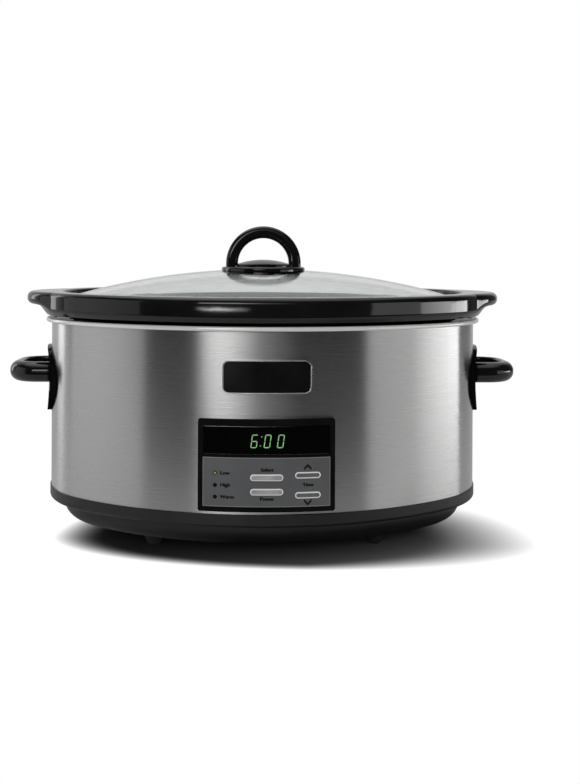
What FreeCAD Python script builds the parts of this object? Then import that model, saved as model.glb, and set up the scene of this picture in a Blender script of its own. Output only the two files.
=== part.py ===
import FreeCAD, Part
import math
import os
import re
import Sketcher

# Oval slow cooker with a lift-out stoneware crock, a domed glass lid and a front control panel.
# Millimetres, +Z up, the front faces -Y, the origin lies on the table under the middle of the cooker.
# The plan of every oval piece is four tangent arcs, so an offset of the plan is again four arcs.
# A profile point is (offset from the steel wrap's outside, height): negative offsets lie inside it.

SIZES = {
    # steel wrap
    "body_length": 370, "body_depth": 270, "end_radius": 104,
    "shell_height": 142.5, "shell_sheet": 0.8, "fit_gap": 0.2,
    # base and feet
    "foot_height": 8.4, "foot_x": 90, "foot_y": 77, "foot_top_radius": 9, "foot_floor_radius": 5.5,
    "foot_edge": 1, "base_height": 28.1, "base_overhang": 0.9, "base_skirt": 10.5, "base_inset": 11.5,
    "base_wall": 3, "base_edge": 14, "base_lip_height": 7.5, "base_lip_wall": 2.5, "floor_band": 60,
    # posts and screws that hold the liner to the base
    "post_x": 70, "post_y": 45, "post_radius": 5, "post_bore": 1.7, "base_screw_radius": 1.5,
    "base_screw_hole": 1.9, "base_screw_head": 3.5, "base_screw_cap": 2, "base_screw_length": 18,
    # heating liner and its rolled lip
    "liner_gap": 13.2, "liner_sheet": 0.8, "liner_rise": 12, "liner_edge": 18,
    "bead_overhang": 4.8, "bead_height": 3.6, "bead_drop": 1.8, "bead_round": 1.7,
    "heater_low": 7, "heater_height": 30, "heater_thickness": 1.2,
    # stoneware crock
    "crock_gap": 3, "crock_wall": 7, "crock_draft": 8, "crock_floor": 9, "crock_edge": 20,
    "rim_lift": 4.4, "rim_height": 19.6, "rim_overhang": 8, "rim_slope_in": 3.6, "rim_slope_height": 4.4,
    "rim_round": 4.5, "lip_width": 18, "lid_recess": 11.5, "ear_radius": 66, "ear_overhang": 14,
    "ear_thickness": 11, "ear_round": 5, "ear_root": 13,
    # glass lid
    "lid_gap": 1, "glass_thickness": 4, "dome_rise": 25.4, "glass_lift": 1.3, "lid_bead_width": 7,
    "lid_bead_height": 3.8,
    "lid_screw_hole": 3.5, "trim_reach": 100,
    # lid handle and what clamps it
    "knob_radius": 36.8, "knob_edge": 6, "knob_pad": 8.4, "arch_outer": 33, "arch_bar": 10.6,
    "arch_depth": 17, "arch_rise": 4.9, "arch_round": 3.6, "gasket_radius": 13.8, "gasket_thickness": 0.9,
    "lid_screw_radius": 2.4, "lid_screw_reach": 4, "lid_screw_head": 5, "lid_screw_cap": 2.5,
    "washer_radius": 9, "washer_thickness": 1.2,
    # side handles
    "plate_width": 88, "plate_height": 57.6, "plate_end": 20, "plate_thickness": 2.4, "plate_hollow": 277,
    "plate_centre": 90.5, "grip_width": 70, "grip_reach": 35.6, "grip_bar": 11, "grip_height": 17.4,
    "grip_low": 88.8, "grip_corner": 26, "grip_round": 8.2, "grip_inner_round": 2,
    "handle_screw_angle": 16.5, "handle_screw_radius": 2, "handle_screw_depth": 7,
    "handle_screw_head": 4, "handle_screw_cap": 2, "handle_hole_gap": 0.6,
    # badge plate
    "badge_width": 69, "badge_height": 26, "badge_centre": 105.6, "badge_round": 5.6,
    "badge_thickness": 1.8, "badge_border": 1, "badge_face_drop": 0.4, "badge_edge": 0.45,
    # control panel
    "panel_width": 106, "panel_low": 2.3, "panel_height": 71.1, "panel_thickness": 2.8, "panel_round": 2,
    "panel_edge": 0.8, "lens_edge": 0.3,
    "recess_depth": 1.5, "opening_width": 92, "opening_low": 8.5, "opening_height": 60.5,
    "fascia_width": 98.5, "fascia_low": 6.3, "fascia_height": 37.9, "fascia_thickness": 1.2,
    "lens_width": 98, "lens_low": 46, "lens_height": 22.5, "window_width": 60, "window_height": 14,
    "display_width": 54, "display_height": 17, "display_depth": 4.5,
    # circuit board behind the panel
    "board_depth": 8, "board_sheet": 1.6, "board_width": 88, "board_low": 9.5, "board_height": 59,
    "low_post_x": 18, "low_post_rise": 11.9, "high_post_x": 41, "high_post_rise": 64.5,
    "panel_post_radius": 2.5, "panel_screw_bore": 1.1, "panel_screw_radius": 1, "panel_screw_head": 2.2,
    "panel_screw_cap": 1.3, "panel_screw_length": 5, "board_hole": 1.3,
    "switch_size": 6, "switch_height": 1.5, "switch_tip_radius": 1.6, "switch_tip": 0.7,
    # buttons and lamps
    "middle_width": 25.7, "select_height": 5.2, "select_rise": 28.9, "power_height": 5.2,
    "power_rise": 17.9, "time_width": 20, "time_height": 5, "time_x": 31.7, "time_up_rise": 30.5,
    "time_down_rise": 15.2, "button_proud": 0.8, "button_gap": 0.25, "button_flange": 0.9,
    "button_flange_sheet": 0.8, "button_stem": 1.8, "button_travel": 0.5, "button_edge": 0.7,
    "dish_depth": 0.35, "dish_border": 0.9,
    "lamp_x": 39.7, "lamp_radius": 1.5, "lamp_low_rise": 32.2, "lamp_high_rise": 22.8,
    "lamp_warm_rise": 13.8, "lamp_flange": 2, "lamp_flange_height": 1, "lamp_proud": 0.2, "lamp_round": 1.35,
    # mains board and its parts in the base
    "power_board_width": 90, "power_board_depth": 60, "power_board_y": 55, "power_board_lift": 4.6,
    "boss_radius": 3, "boss_inset": 5, "relay_width": 19, "relay_depth": 15, "relay_height": 15,
    "relay_x": -30, "relay_y": 68, "coil_width": 32, "coil_depth": 27, "coil_height": 22, "coil_x": 4,
    "coil_y": 55, "can_radius": 5, "can_height": 16, "can_chamfer": 1, "can_x": 33, "can_y": 66,
    "terminal_width": 22, "terminal_depth": 9, "terminal_height": 11, "terminal_x": -28, "terminal_y": 36,
    # sensing parts under the liner
    "sensor_radius": 4.5, "sensor_depth": 10, "sensor_flange": 9, "sensor_flange_sheet": 1.2,
    "strap_length": 52, "strap_width": 12, "strap_sheet": 0.8, "fuse_radius": 2, "fuse_length": 14,
    "fuse_y": -40, "clip_sheet": 0.6, "clip_width": 7, "clip_tab": 8,
    # gland at the back where the supply lead enters
    "gland_rise": 17, "gland_radius": 6, "gland_bore": 3.6, "gland_flange": 9, "gland_flange_sheet": 2.3,
    "gland_inside": 7, "gland_chamfer": 0.8,
}

# Places that follow from the sizes above.
DERIVED = {
    "end_centre": "body_length / 2 - end_radius",
    "front_radius": "(end_centre^2 + (body_depth / 2)^2 - end_radius^2) / (body_depth - 2 * end_radius)",
    "front_centre": "front_radius - body_depth / 2",
    "centre_span": "sqrt(end_centre^2 + front_centre^2)",
    "base_bottom": "foot_height",
    "shell_bottom": "foot_height + base_height",
    "shell_top": "shell_bottom + shell_height",
    "base_floor": "base_bottom + base_wall",
    "shell_inside": "-shell_sheet",
    "liner_outside": "shell_inside - liner_gap",
    "liner_inside": "liner_outside - liner_sheet",
    "liner_floor": "shell_bottom + liner_rise",
    "liner_under": "liner_floor - liner_sheet",
    "crock_outside": "liner_inside - crock_gap",
    "crock_inside": "crock_outside - crock_wall",
    "crock_bottom": "liner_floor + fit_gap",
    "rim_bottom": "shell_top + rim_lift",
    "rim_top": "rim_bottom + rim_height",
    "ledge_top": "rim_top - lid_recess",
    "lip_inside": "rim_overhang - lip_width",
    "ear_tip": "body_length / 2 + rim_overhang + ear_overhang",
    "ear_centre": "ear_tip - ear_radius",
    "ear_bottom": "rim_top - ear_thickness",
    "lid_edge": "lip_inside - lid_gap",
    "lid_half_length": "body_length / 2 + lid_edge",
    "lid_half_depth": "body_depth / 2 + lid_edge",
    "lid_seat": "ledge_top + fit_gap",
    "dome_top": "lid_seat + glass_lift + glass_thickness + dome_rise",
    "dome_long_radius": "(lid_half_length^2 + dome_rise^2) / (2 * dome_rise)",
    "dome_short_radius": "(lid_half_depth^2 + dome_rise^2) / (2 * dome_rise)",
    "dome_under": "dome_top - glass_thickness",
    "knob_bottom": "dome_top + gasket_thickness + fit_gap",
    "arch_centre": "dome_top + arch_rise",
    "arch_inner": "arch_outer - arch_bar",
    "washer_top": "dome_under - fit_gap",
    "plate_slope": "((plate_width / 2 - plate_end)^2 - (plate_height / 2 - plate_end)^2) / 2",
    "plate_side": "plate_height / 2 + plate_slope / (plate_height / 2 - plate_end)",
    "plate_edge": "plate_hollow - sqrt(plate_hollow^2 - plate_height^2)",
    "grip_middle": "shell_bottom + grip_low + grip_height / 2",
    "board_face": "body_depth / 2 - board_depth",
    "board_back": "board_face - board_sheet",
    "panel_front": "fit_gap + panel_thickness",
    "recess_floor": "panel_front - recess_depth",
    "fascia_front": "recess_floor + fit_gap / 4 + fascia_thickness",
    "switch_top": "board_face + switch_height + switch_tip",
    "power_board_bottom": "base_floor + power_board_lift",
    "power_board_top": "power_board_bottom + board_sheet",
}

doc = FreeCAD.newDocument("SlowCooker")
sheet = doc.addObject("Spreadsheet::Sheet", "Sizes")
pieces = []


def fill_sheet():
    for row, (name, number) in enumerate(SIZES.items(), start=1):
        sheet.set(f"A{row}", name)
        sheet.set(f"B{row}", str(number))
        sheet.setAlias(f"B{row}", name)
    doc.recompute()


def full(expression):
    def swap(match):
        name = match.group(0)
        if name in DERIVED:
            return "(" + full(DERIVED[name]) + ")"
        return "Sizes." + name if name in SIZES else name
    return re.sub(r"[a-z]\w*", swap, str(expression))


def value(expression):
    result = sheet.evalExpression(full(expression))
    return float(getattr(result, "Value", result))


def bind(thing, **properties):
    for name, expression in properties.items():
        thing.setExpression(name.replace("__", "."), full(expression))


def place(thing, x=0, y=0, z=0):
    bind(thing, Placement__Base__x=x, Placement__Base__y=y, Placement__Base__z=z)


def keep(thing, label):
    thing.Label = label
    pieces.append(thing)
    return thing


# Sketch helpers: outlines whose every corner and radius is bound to the sheet.

def new_body(name):
    body = doc.addObject("PartDesign::Body", name)
    body.AllowCompound = True
    return body


def origin_plane(body, role):
    return next(item for item in body.Origin.OriginFeatures if item.Role == role)


def sketch_on(body, role, offset=0):
    sketch = body.newObject("Sketcher::SketchObject", body.Name + "_outline")
    sketch.AttachmentSupport = [(origin_plane(body, role), "")]
    sketch.MapMode = "FlatFace"
    bind(sketch, AttachmentOffset__Base__z=offset)
    return sketch


def constrain(sketch, rows):
    built = []
    for expression, *parts in rows:
        if expression is not None:
            parts.append(value(expression))
        built.append(Sketcher.Constraint(*parts))
    for index, row in zip(sketch.addConstraint(built), rows):
        if row[0] is not None:
            sketch.setExpression(f"Constraints[{index}]", full(row[0]))


def point_at(x, y):
    return FreeCAD.Vector(value(x), value(y), 0)


def arc_between(start, end, centre):
    # counter-clockwise arc, with a flag that tells if it runs from start to end
    left = (start - centre).cross(end - centre).z > 0
    low, high = (start, end) if left else (end, start)
    low_angle = math.atan2(low.y - centre.y, low.x - centre.x)
    high_angle = math.atan2(high.y - centre.y, high.x - centre.x)
    if high_angle < low_angle:
        high_angle += 2 * math.pi
    circle = Part.Circle(centre, FreeCAD.Vector(0, 0, 1), (start - centre).Length)
    return Part.ArcOfCircle(circle, low_angle, high_angle), left


def corner_round(before, here, after, radius):
    to_before = (before - here).normalize()
    to_after = (after - here).normalize()
    half_angle = to_before.getAngle(to_after) / 2
    reach = radius / math.tan(half_angle)
    centre = here + (to_before + to_after).normalize() * (radius / math.sin(half_angle))
    return here + to_before * reach, here + to_after * reach, centre


def outline(sketch, points):
    # closed run of straight lines; a point is (x, y), or (x, y, radius) for a rounded corner
    spots = [point_at(*point[:2]) for point in points]
    count = len(points)
    rounds = {}
    for i, point in enumerate(points):
        if len(point) == 3:
            rounds[i] = corner_round(spots[i - 1], spots[i], spots[(i + 1) % count], value(point[2]))
    first = sketch.GeometryCount
    shapes = []
    for i in range(count):
        j = (i + 1) % count
        begin = rounds[i][1] if i in rounds else spots[i]
        end = rounds[j][0] if j in rounds else spots[j]
        shapes.append(Part.LineSegment(begin, end))
    first_corner = first + count + len(rounds)
    rows = []
    marks = []
    for i, (x, y, *radius) in enumerate(points):
        before = first + (i - 1) % count
        after = first + i
        if radius:
            shape, left = arc_between(*rounds[i])
            arc = first + len(shapes)
            corner = first_corner + len(marks)
            shapes.append(shape)
            marks.append(Part.Point(spots[i]))
            near, far = (1, 2) if left else (2, 1)
            rows.append((None, "Tangent", before, 2, arc, near))
            rows.append((None, "Tangent", arc, far, after, 1))
            rows.append((radius[0], "Radius", arc))
            rows.append((None, "PointOnObject", corner, 1, before))
            rows.append((None, "PointOnObject", corner, 1, after))
        else:
            corner = after
            rows.append((None, "Coincident", before, 2, after, 1))
        rows.append((x, "DistanceX", -1, 1, corner, 1))
        rows.append((y, "DistanceY", -1, 1, corner, 1))
    sketch.addGeometry(shapes, False)
    if marks:
        sketch.addGeometry(marks, True)
    constrain(sketch, rows)


def chain(sketch, points):
    # closed run; a point is (x, y), or (x, y, radius, side) where an arc centred on that side follows
    spots = [point_at(*point[:2]) for point in points]
    count = len(points)
    first = sketch.GeometryCount
    shapes = []
    ends = []
    rows = []
    for i, (x, y, *arc) in enumerate(points):
        begin, end = spots[i], spots[(i + 1) % count]
        ends.append((1, 2))
        if arc:
            middle = (begin + end) / 2
            half = (end - begin).Length / 2
            side = 1 if arc[1] == "left" else -1
            across = FreeCAD.Vector(begin.y - end.y, end.x - begin.x, 0).normalize() * side
            centre = middle + across * math.sqrt(value(arc[0]) ** 2 - half ** 2)
            shape, left = arc_between(begin, end, centre)
            ends[i] = (1, 2) if left else (2, 1)
            shapes.append(shape)
            rows.append((arc[0], "Radius", first + i))
        else:
            shapes.append(Part.LineSegment(begin, end))
    for i, (x, y, *arc) in enumerate(points):
        rows.append((None, "Coincident", first + (i - 1) % count, ends[i - 1][1], first + i, ends[i][0]))
        rows.append((x, "DistanceX", -1, 1, first + i, ends[i][0]))
        rows.append((y, "DistanceY", -1, 1, first + i, ends[i][0]))
    sketch.addGeometry(shapes, False)
    constrain(sketch, rows)


def circles(sketch, rows):
    for x, y, radius in rows:
        index = sketch.addGeometry(Part.Circle(point_at(x, y), FreeCAD.Vector(0, 0, 1), value(radius)))
        constrain(sketch, [(radius, "Radius", index), (x, "DistanceX", -1, 1, index, 3),
                           (y, "DistanceY", -1, 1, index, 3)])


def rectangle(sketch, x, y, width, height, radius=None):
    corners = []
    for across, up in ((-1, -1), (1, -1), (1, 1), (-1, 1)):
        corner = (f"({x}) + {across} * ({width}) / 2", f"({y}) + {up} * ({height}) / 2")
        corners.append(corner + ((radius,) if radius else ()))
    outline(sketch, corners)


def pill(sketch, x, y, width, height):
    # a slot with round ends, each made of two quarter arcs
    end = f"(({width}) - ({height})) / 2"
    radius = f"({height}) / 2"
    chain(sketch, [
        (f"({x}) - {end}", f"({y}) - {radius}"),
        (f"({x}) + {end}", f"({y}) - {radius}", radius, "left"),
        (f"({x}) + ({width}) / 2", y, radius, "left"),
        (f"({x}) + {end}", f"({y}) + {radius}"),
        (f"({x}) - {end}", f"({y}) + {radius}", radius, "left"),
        (f"({x}) - ({width}) / 2", y, radius, "left")])


def oval(sketch, grow):
    # the plan oval, offset outwards by grow
    x = f"end_centre * (1 + (end_radius + ({grow})) / centre_span)"
    y = f"front_centre * (end_radius + ({grow})) / centre_span"
    ends = f"end_radius + ({grow})"
    sides = f"front_radius + ({grow})"
    chain(sketch, [(x, f"-({y})", ends, "left"), (x, y, sides, "left"),
                   (f"-({x})", y, ends, "left"), (f"-({x})", f"-({y})", sides, "left")])


def front_y(grow, x):
    # distance in front of the middle of the front wall offset by grow, at a place across it
    return f"(sqrt((front_radius + ({grow}))^2 - ({x})^2) - front_centre)"


def front_band(sketch, width, inner, outer):
    # plan of a curved plate that follows the front wall
    half = f"({width}) / 2"
    near = front_y(outer, half)
    far = front_y(inner, half)
    chain(sketch, [(f"-{half}", f"-{near}", f"front_radius + ({outer})", "left"), (half, f"-{near}"),
                   (half, f"-{far}", f"front_radius + ({inner})", "right"), (f"-{half}", f"-{far}")])


# Feature helpers.

def pad(body, sketch, length, both_ways=False, backward=False):
    feature = body.newObject("PartDesign::Pad", body.Name + "_pad")
    feature.Profile = sketch
    feature.Midplane = both_ways
    feature.Reversed = backward
    bind(feature, Length=length)
    return feature


def cut(body, sketch, length=None, forward=True):
    # a pocket along the sketch's normal, or against it, that has to take something away
    doc.recompute()
    before = body.Shape.Volume
    feature = body.newObject("PartDesign::Pocket", body.Name + "_cut")
    feature.Profile = sketch
    feature.Reversed = forward
    if length is None:
        feature.Type = "ThroughAll"
    else:
        bind(feature, Length=length)
    doc.recompute()
    if not body.Shape.Volume < before:
        raise RuntimeError(f"a cut in {body.Name} took nothing away")
    return feature


def turn(body, sketch, axis=None, angle=360, kind="PartDesign::Revolution"):
    feature = body.newObject(kind, body.Name + "_turn")
    feature.Profile = sketch
    feature.ReferenceAxis = axis or (sketch, ["V_Axis"])
    feature.Midplane = True
    bind(feature, Angle=angle)
    return feature


def construction_axis(sketch, start, end):
    index = sketch.addGeometry(Part.LineSegment(point_at(*start), point_at(*end)), True)
    rows = []
    for corner, (x, y) in ((1, start), (2, end)):
        rows.append((x, "DistanceX", -1, 1, index, corner))
        rows.append((y, "DistanceY", -1, 1, index, corner))
    constrain(sketch, rows)
    return sketch, ["Axis0"]


def mirror(body, features, role):
    feature = body.newObject("PartDesign::Mirrored", body.Name + "_mirror")
    feature.Originals = features
    feature.MirrorPlane = (origin_plane(body, role), [""])
    body.Tip = feature
    doc.recompute()
    return feature


def round_edges(body, radius, pick):
    doc.recompute()
    names = [f"Edge{i}" for i, edge in enumerate(body.Tip.Shape.Edges, start=1) if pick(edge)]
    if not names:
        raise RuntimeError(f"no edge to round in {body.Name}")
    feature = body.newObject("PartDesign::Fillet", body.Name + "_round")
    feature.Base = (feature.BaseFeature or body.Tip, names)
    bind(feature, Radius=radius)
    return feature


def level(edge, height):
    return all(abs(vertex.Z - height) < 1e-4 for vertex in edge.Vertexes)


def on_front(edge, grow):
    # the edge lies on the front wall offset by grow
    radius = value(f"front_radius + ({grow})")
    centre = value("front_centre")
    return all(abs(math.hypot(vertex.X, vertex.Y - centre) - radius) < 1e-3 for vertex in edge.Vertexes)


def along_y(edge):
    start, end = edge.Vertexes[0].Point, edge.Vertexes[-1].Point
    return abs(start.x - end.x) < 1e-4 and abs(start.z - end.z) < 1e-4


def oval_ring(name, points):
    # one profile turned through the end arcs and the side arcs of the plan
    body = new_body(name)
    end = sketch_on(body, "XZ_Plane")
    outline(end, [(f"body_length / 2 + ({d})", *rest) for d, *rest in points])
    end_axis = construction_axis(end, ("end_centre", 0), ("end_centre", "shell_height"))
    end_turn = turn(body, end, end_axis, "2 * atan(front_centre / end_centre)")
    side = sketch_on(body, "YZ_Plane")
    outline(side, [(f"-(body_depth / 2 + ({d}))", *rest) for d, *rest in points])
    side_axis = construction_axis(side, ("front_centre", 0), ("front_centre", "shell_height"))
    side_turn = turn(body, side, side_axis, "2 * atan(end_centre / front_centre)")
    doc.recompute()
    mirror(body, [end_turn], "YZ_Plane")
    mirror(body, [side_turn], "XZ_Plane")
    return body


def oval_slab(body, bottom, thickness, grow):
    sketch = sketch_on(body, "XY_Plane", bottom)
    oval(sketch, grow)
    pad(body, sketch, thickness)


def block(name, x, y, z, width, depth, height):
    body = new_body(name)
    sketch = sketch_on(body, "XY_Plane")
    rectangle(sketch, 0, 0, width, depth)
    pad(body, sketch, height)
    place(body, x, y, z)
    return keep(body, name)


def turned(name, points, x=0, y=0, z=0):
    # a piece turned about its own upright axis; points are (radius, height)
    body = new_body(name)
    sketch = sketch_on(body, "XZ_Plane")
    outline(sketch, points)
    turn(body, sketch)
    place(body, x, y, z)
    return body


def join(kind, name, base, tool):
    thing = doc.addObject(kind, name)
    thing.Base = base
    thing.Tool = tool
    return thing


def four_places(name, body):
    # a body and its mirror images across the middle planes, as one group of separate solids
    across = doc.addObject("Part::Mirroring", name + "_across")
    across.Source = body
    across.Normal = (1, 0, 0)
    pair = doc.addObject("Part::Compound", name + "_pair")
    pair.Links = [body, across]
    behind = doc.addObject("Part::Mirroring", name + "_behind")
    behind.Source = pair
    behind.Normal = (0, 1, 0)
    group = doc.addObject("Part::Compound", name + "_group")
    group.Links = [pair, behind]
    return keep(group, name)


# Heating base.

def make_outer_shell():
    body = new_body("outer_shell")
    sketch = sketch_on(body, "XY_Plane", "shell_bottom")
    oval(sketch, 0)
    oval(sketch, "shell_inside")
    pad(body, sketch, "shell_height")
    opening = sketch_on(body, "XZ_Plane")
    opening_middle = "shell_bottom + opening_low + opening_height / 2"
    rectangle(opening, 0, opening_middle, "opening_width", "opening_height")
    cut(body, opening)
    gland_hole = sketch_on(body, "XZ_Plane")
    circles(gland_hole, [(0, "shell_bottom + gland_rise", "gland_radius + fit_gap")])
    cut(body, gland_hole, forward=False)
    for forward in (True, False):
        holes = sketch_on(body, "YZ_Plane")
        across = "end_radius * sin(handle_screw_angle)"
        height = "grip_middle"
        radius = "handle_screw_radius + handle_hole_gap"
        circles(holes, [(across, height, radius), (f"-({across})", height, radius)])
        cut(body, holes, forward=forward)
    keep(body, "outer_shell")


def make_base_housing():
    lip_face = "shell_inside - fit_gap"
    inner = "-(base_inset + base_wall)"
    skirt_low = "shell_bottom - base_skirt"
    body = oval_ring("base_housing", [
        (lip_face, "shell_bottom + base_lip_height"),
        (lip_face, "shell_bottom"),
        ("base_overhang", "shell_bottom", "base_overhang / 2"),
        ("base_overhang", skirt_low, "base_wall"),
        ("-base_inset", skirt_low, "base_wall / 2"),
        ("-base_inset", "base_bottom", "base_edge"),
        ("-floor_band", "base_bottom"),
        ("-floor_band", "base_floor"),
        (inner, "base_floor", "base_edge - base_wall"),
        (inner, f"{skirt_low} + base_wall", "base_wall / 2"),
        (f"{lip_face} - base_lip_wall", f"{skirt_low} + base_wall", "base_wall / 2"),
        (f"{lip_face} - base_lip_wall", "shell_bottom + base_lip_height")])
    oval_slab(body, "base_bottom", "base_wall", "1 - floor_band")
    bosses = sketch_on(body, "XY_Plane", "base_floor")
    for side_x in (-1, 1):
        for side_y in (-1, 1):
            boss_x = f"{side_x} * (power_board_width / 2 - boss_inset)"
            boss_y = f"power_board_y + {side_y} * (power_board_depth / 2 - boss_inset)"
            circles(bosses, [(boss_x, boss_y, "boss_radius")])
    pad(body, bosses, "power_board_lift")
    holes = sketch_on(body, "XY_Plane", "base_bottom")
    for side_x in (-1, 1):
        for side_y in (-1, 1):
            circles(holes, [(f"{side_x} * post_x", f"{side_y} * post_y", "base_screw_hole")])
    cut(body, holes, "base_wall")
    keep(body, "base_housing")


def make_feet():
    for name, side_x, side_y in (("foot_front_left", -1, -1), ("foot_front_right", 1, -1),
                                 ("foot_rear_left", -1, 1), ("foot_rear_right", 1, 1)):
        foot = turned(name, [(0, 0), ("foot_floor_radius - foot_edge", 0),
                             ("foot_floor_radius", "foot_edge"), ("foot_top_radius", "foot_height"),
                             (0, "foot_height")], f"{side_x} * foot_x", f"{side_y} * foot_y")
        keep(foot, name)


def make_liner_pan():
    flange = "shell_top + liner_sheet"
    bead_low = "shell_top - bead_drop"
    bead_high = f"{bead_low} + bead_height"
    body = oval_ring("liner_pan", [
        ("fit_gap", bead_low),
        ("bead_overhang", bead_low, "bead_round"),
        ("bead_overhang", bead_high, "bead_round"),
        ("-bead_round", bead_high, "liner_sheet"),
        ("-bead_round", flange),
        ("liner_inside", flange, "2 * liner_sheet"),
        ("liner_inside", "liner_floor", "liner_edge"),
        ("-floor_band", "liner_floor"),
        ("-floor_band", "liner_under"),
        ("liner_outside", "liner_under", "liner_edge + liner_sheet"),
        ("liner_outside", "shell_top", "liner_sheet"),
        ("fit_gap", "shell_top")])
    oval_slab(body, "liner_under", "liner_sheet", "1 - floor_band")
    keep(body, "liner_pan")


def make_heater_band():
    body = new_body("heater_band")
    sketch = sketch_on(body, "XY_Plane", "liner_floor + heater_low + liner_edge")
    oval(sketch, "liner_outside + fit_gap + heater_thickness")
    oval(sketch, "liner_outside + fit_gap")
    pad(body, sketch, "heater_height")
    keep(body, "heater_band")


def make_liner_posts():
    post = turned("liner_post", [("post_bore", "base_floor"), ("post_radius", "base_floor"),
                                 ("post_radius", "liner_under"), ("post_bore", "liner_under")],
                  "post_x", "post_y")
    four_places("liner_posts", post)
    screw = turned("base_screw", [(0, "base_bottom - base_screw_cap"),
                                  ("base_screw_head - base_screw_cap / 2", "base_bottom - base_screw_cap"),
                                  ("base_screw_head", "base_bottom - base_screw_cap / 2"),
                                  ("base_screw_head", "base_bottom"), ("base_screw_radius", "base_bottom"),
                                  ("base_screw_radius", "base_bottom + base_screw_length"),
                                  (0, "base_bottom + base_screw_length")], "post_x", "post_y")
    four_places("base_screws", screw)


def make_gland():
    outside = "body_depth / 2 + fit_gap"
    body = new_body("cord_gland")
    sketch = sketch_on(body, "YZ_Plane")
    outline(sketch, [
        ("body_depth / 2 - gland_inside", "gland_bore"),
        (f"{outside} + gland_flange_sheet", "gland_bore"),
        (f"{outside} + gland_flange_sheet", "gland_flange - gland_chamfer"),
        (f"{outside} + gland_flange_sheet - gland_chamfer", "gland_flange"),
        (outside, "gland_flange"),
        (outside, "gland_radius"),
        ("body_depth / 2 - gland_inside", "gland_radius")])
    turn(body, sketch, (sketch, ["H_Axis"]))
    place(body, z="shell_bottom + gland_rise")
    keep(body, "cord_gland")


# Mains board in the base.

def make_power_board():
    board = new_body("power_board")
    sketch = sketch_on(board, "XY_Plane")
    rectangle(sketch, 0, 0, "power_board_width", "power_board_depth", "board_sheet")
    pad(board, sketch, "board_sheet")
    place(board, 0, "power_board_y", "power_board_bottom")
    keep(board, "power_board")
    block("relay", "relay_x", "relay_y", "power_board_top", "relay_width", "relay_depth", "relay_height")
    block("transformer", "coil_x", "coil_y", "power_board_top", "coil_width", "coil_depth", "coil_height")
    block("terminal_block", "terminal_x", "terminal_y", "power_board_top", "terminal_width",
          "terminal_depth", "terminal_height")
    can = turned("filter_capacitor", [(0, 0), ("can_radius", 0), ("can_radius", "can_height - can_chamfer"),
                                      ("can_radius - can_chamfer", "can_height"), (0, "can_height")],
                 "can_x", "can_y", "power_board_top")
    keep(can, "filter_capacitor")


# Sensing parts pressed against the underside of the liner.

def make_sensors():
    flange_low = "liner_under - sensor_flange_sheet"
    sensor = turned("temp_sensor", [(0, "liner_under - sensor_depth"),
                                    ("sensor_radius", "liner_under - sensor_depth"),
                                    ("sensor_radius", flange_low), ("sensor_flange", flange_low),
                                    ("sensor_flange", "liner_under"), (0, "liner_under")])
    keep(sensor, "temp_sensor")
    strap = new_body("sensor_strap")
    sketch = sketch_on(strap, "XY_Plane", f"{flange_low} - strap_sheet")
    pill(sketch, 0, 0, "strap_length", "strap_width")
    circles(sketch, [(0, 0, "sensor_radius + fit_gap")])
    pad(strap, sketch, "strap_sheet")
    keep(strap, "sensor_strap")
    fuse = new_body("thermal_fuse")
    profile = sketch_on(fuse, "YZ_Plane")
    circles(profile, [("fuse_y", "liner_under - fuse_radius - fit_gap", "fuse_radius")])
    pad(fuse, profile, "fuse_length", both_ways=True)
    keep(fuse, "thermal_fuse")
    make_fuse_clip()


def make_fuse_clip():
    # a strip bent round the fuse with a tab on each side against the liner
    inner = "fuse_radius + fit_gap"
    outer = f"{inner} + clip_sheet"
    centre = "liner_under - fuse_radius - fit_gap"
    tab = f"fuse_y + {outer} + clip_tab"
    back = f"fuse_y - ({outer}) - clip_tab"
    body = new_body("fuse_clip")
    sketch = sketch_on(body, "YZ_Plane")
    chain(sketch, [
        (back, "liner_under"),
        (back, "liner_under - clip_sheet"),
        (f"fuse_y - ({outer})", "liner_under - clip_sheet"),
        (f"fuse_y - ({outer})", centre, outer, "left"),
        ("fuse_y", f"{centre} - ({outer})", outer, "left"),
        (f"fuse_y + {outer}", centre),
        (f"fuse_y + {outer}", "liner_under - clip_sheet"),
        (tab, "liner_under - clip_sheet"),
        (tab, "liner_under"),
        (f"fuse_y + {inner}", "liner_under"),
        (f"fuse_y + {inner}", centre, inner, "right"),
        ("fuse_y", f"{centre} - ({inner})", inner, "right"),
        (f"fuse_y - ({inner})", centre),
        (f"fuse_y - ({inner})", "liner_under")])
    pad(body, sketch, "clip_width", both_ways=True)
    keep(body, "fuse_clip")


# Side handles: a plate wrapped on the end wall with a moulded finger loop.

def end_cylinder(name, radius):
    cylinder = doc.addObject("Part::Cylinder", name)
    bind(cylinder, Radius=radius, Height="shell_height")
    place(cylinder, "end_centre", 0, "shell_bottom")
    return cylinder


def handle_screw(name, radius, head, depth):
    # a screw along a radius of the end wall, modelled about the wall's centre
    inside = "end_radius + shell_inside - fit_gap"
    body = new_body(name)
    sketch = sketch_on(body, "XZ_Plane")
    outline(sketch, [
        (f"{inside} - handle_screw_cap", 0), (f"{inside} - handle_screw_cap", head), (inside, head),
        (inside, radius), (f"end_radius + ({depth})", radius), (f"end_radius + ({depth})", 0)])
    turn(body, sketch, (sketch, ["H_Axis"]))
    place(body, "end_centre", 0, "grip_middle")
    body.Placement = FreeCAD.Placement(body.Placement.Base, FreeCAD.Rotation(0, 0, 0))
    bind(body, Placement__Rotation__Angle="handle_screw_angle")
    return body


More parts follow.
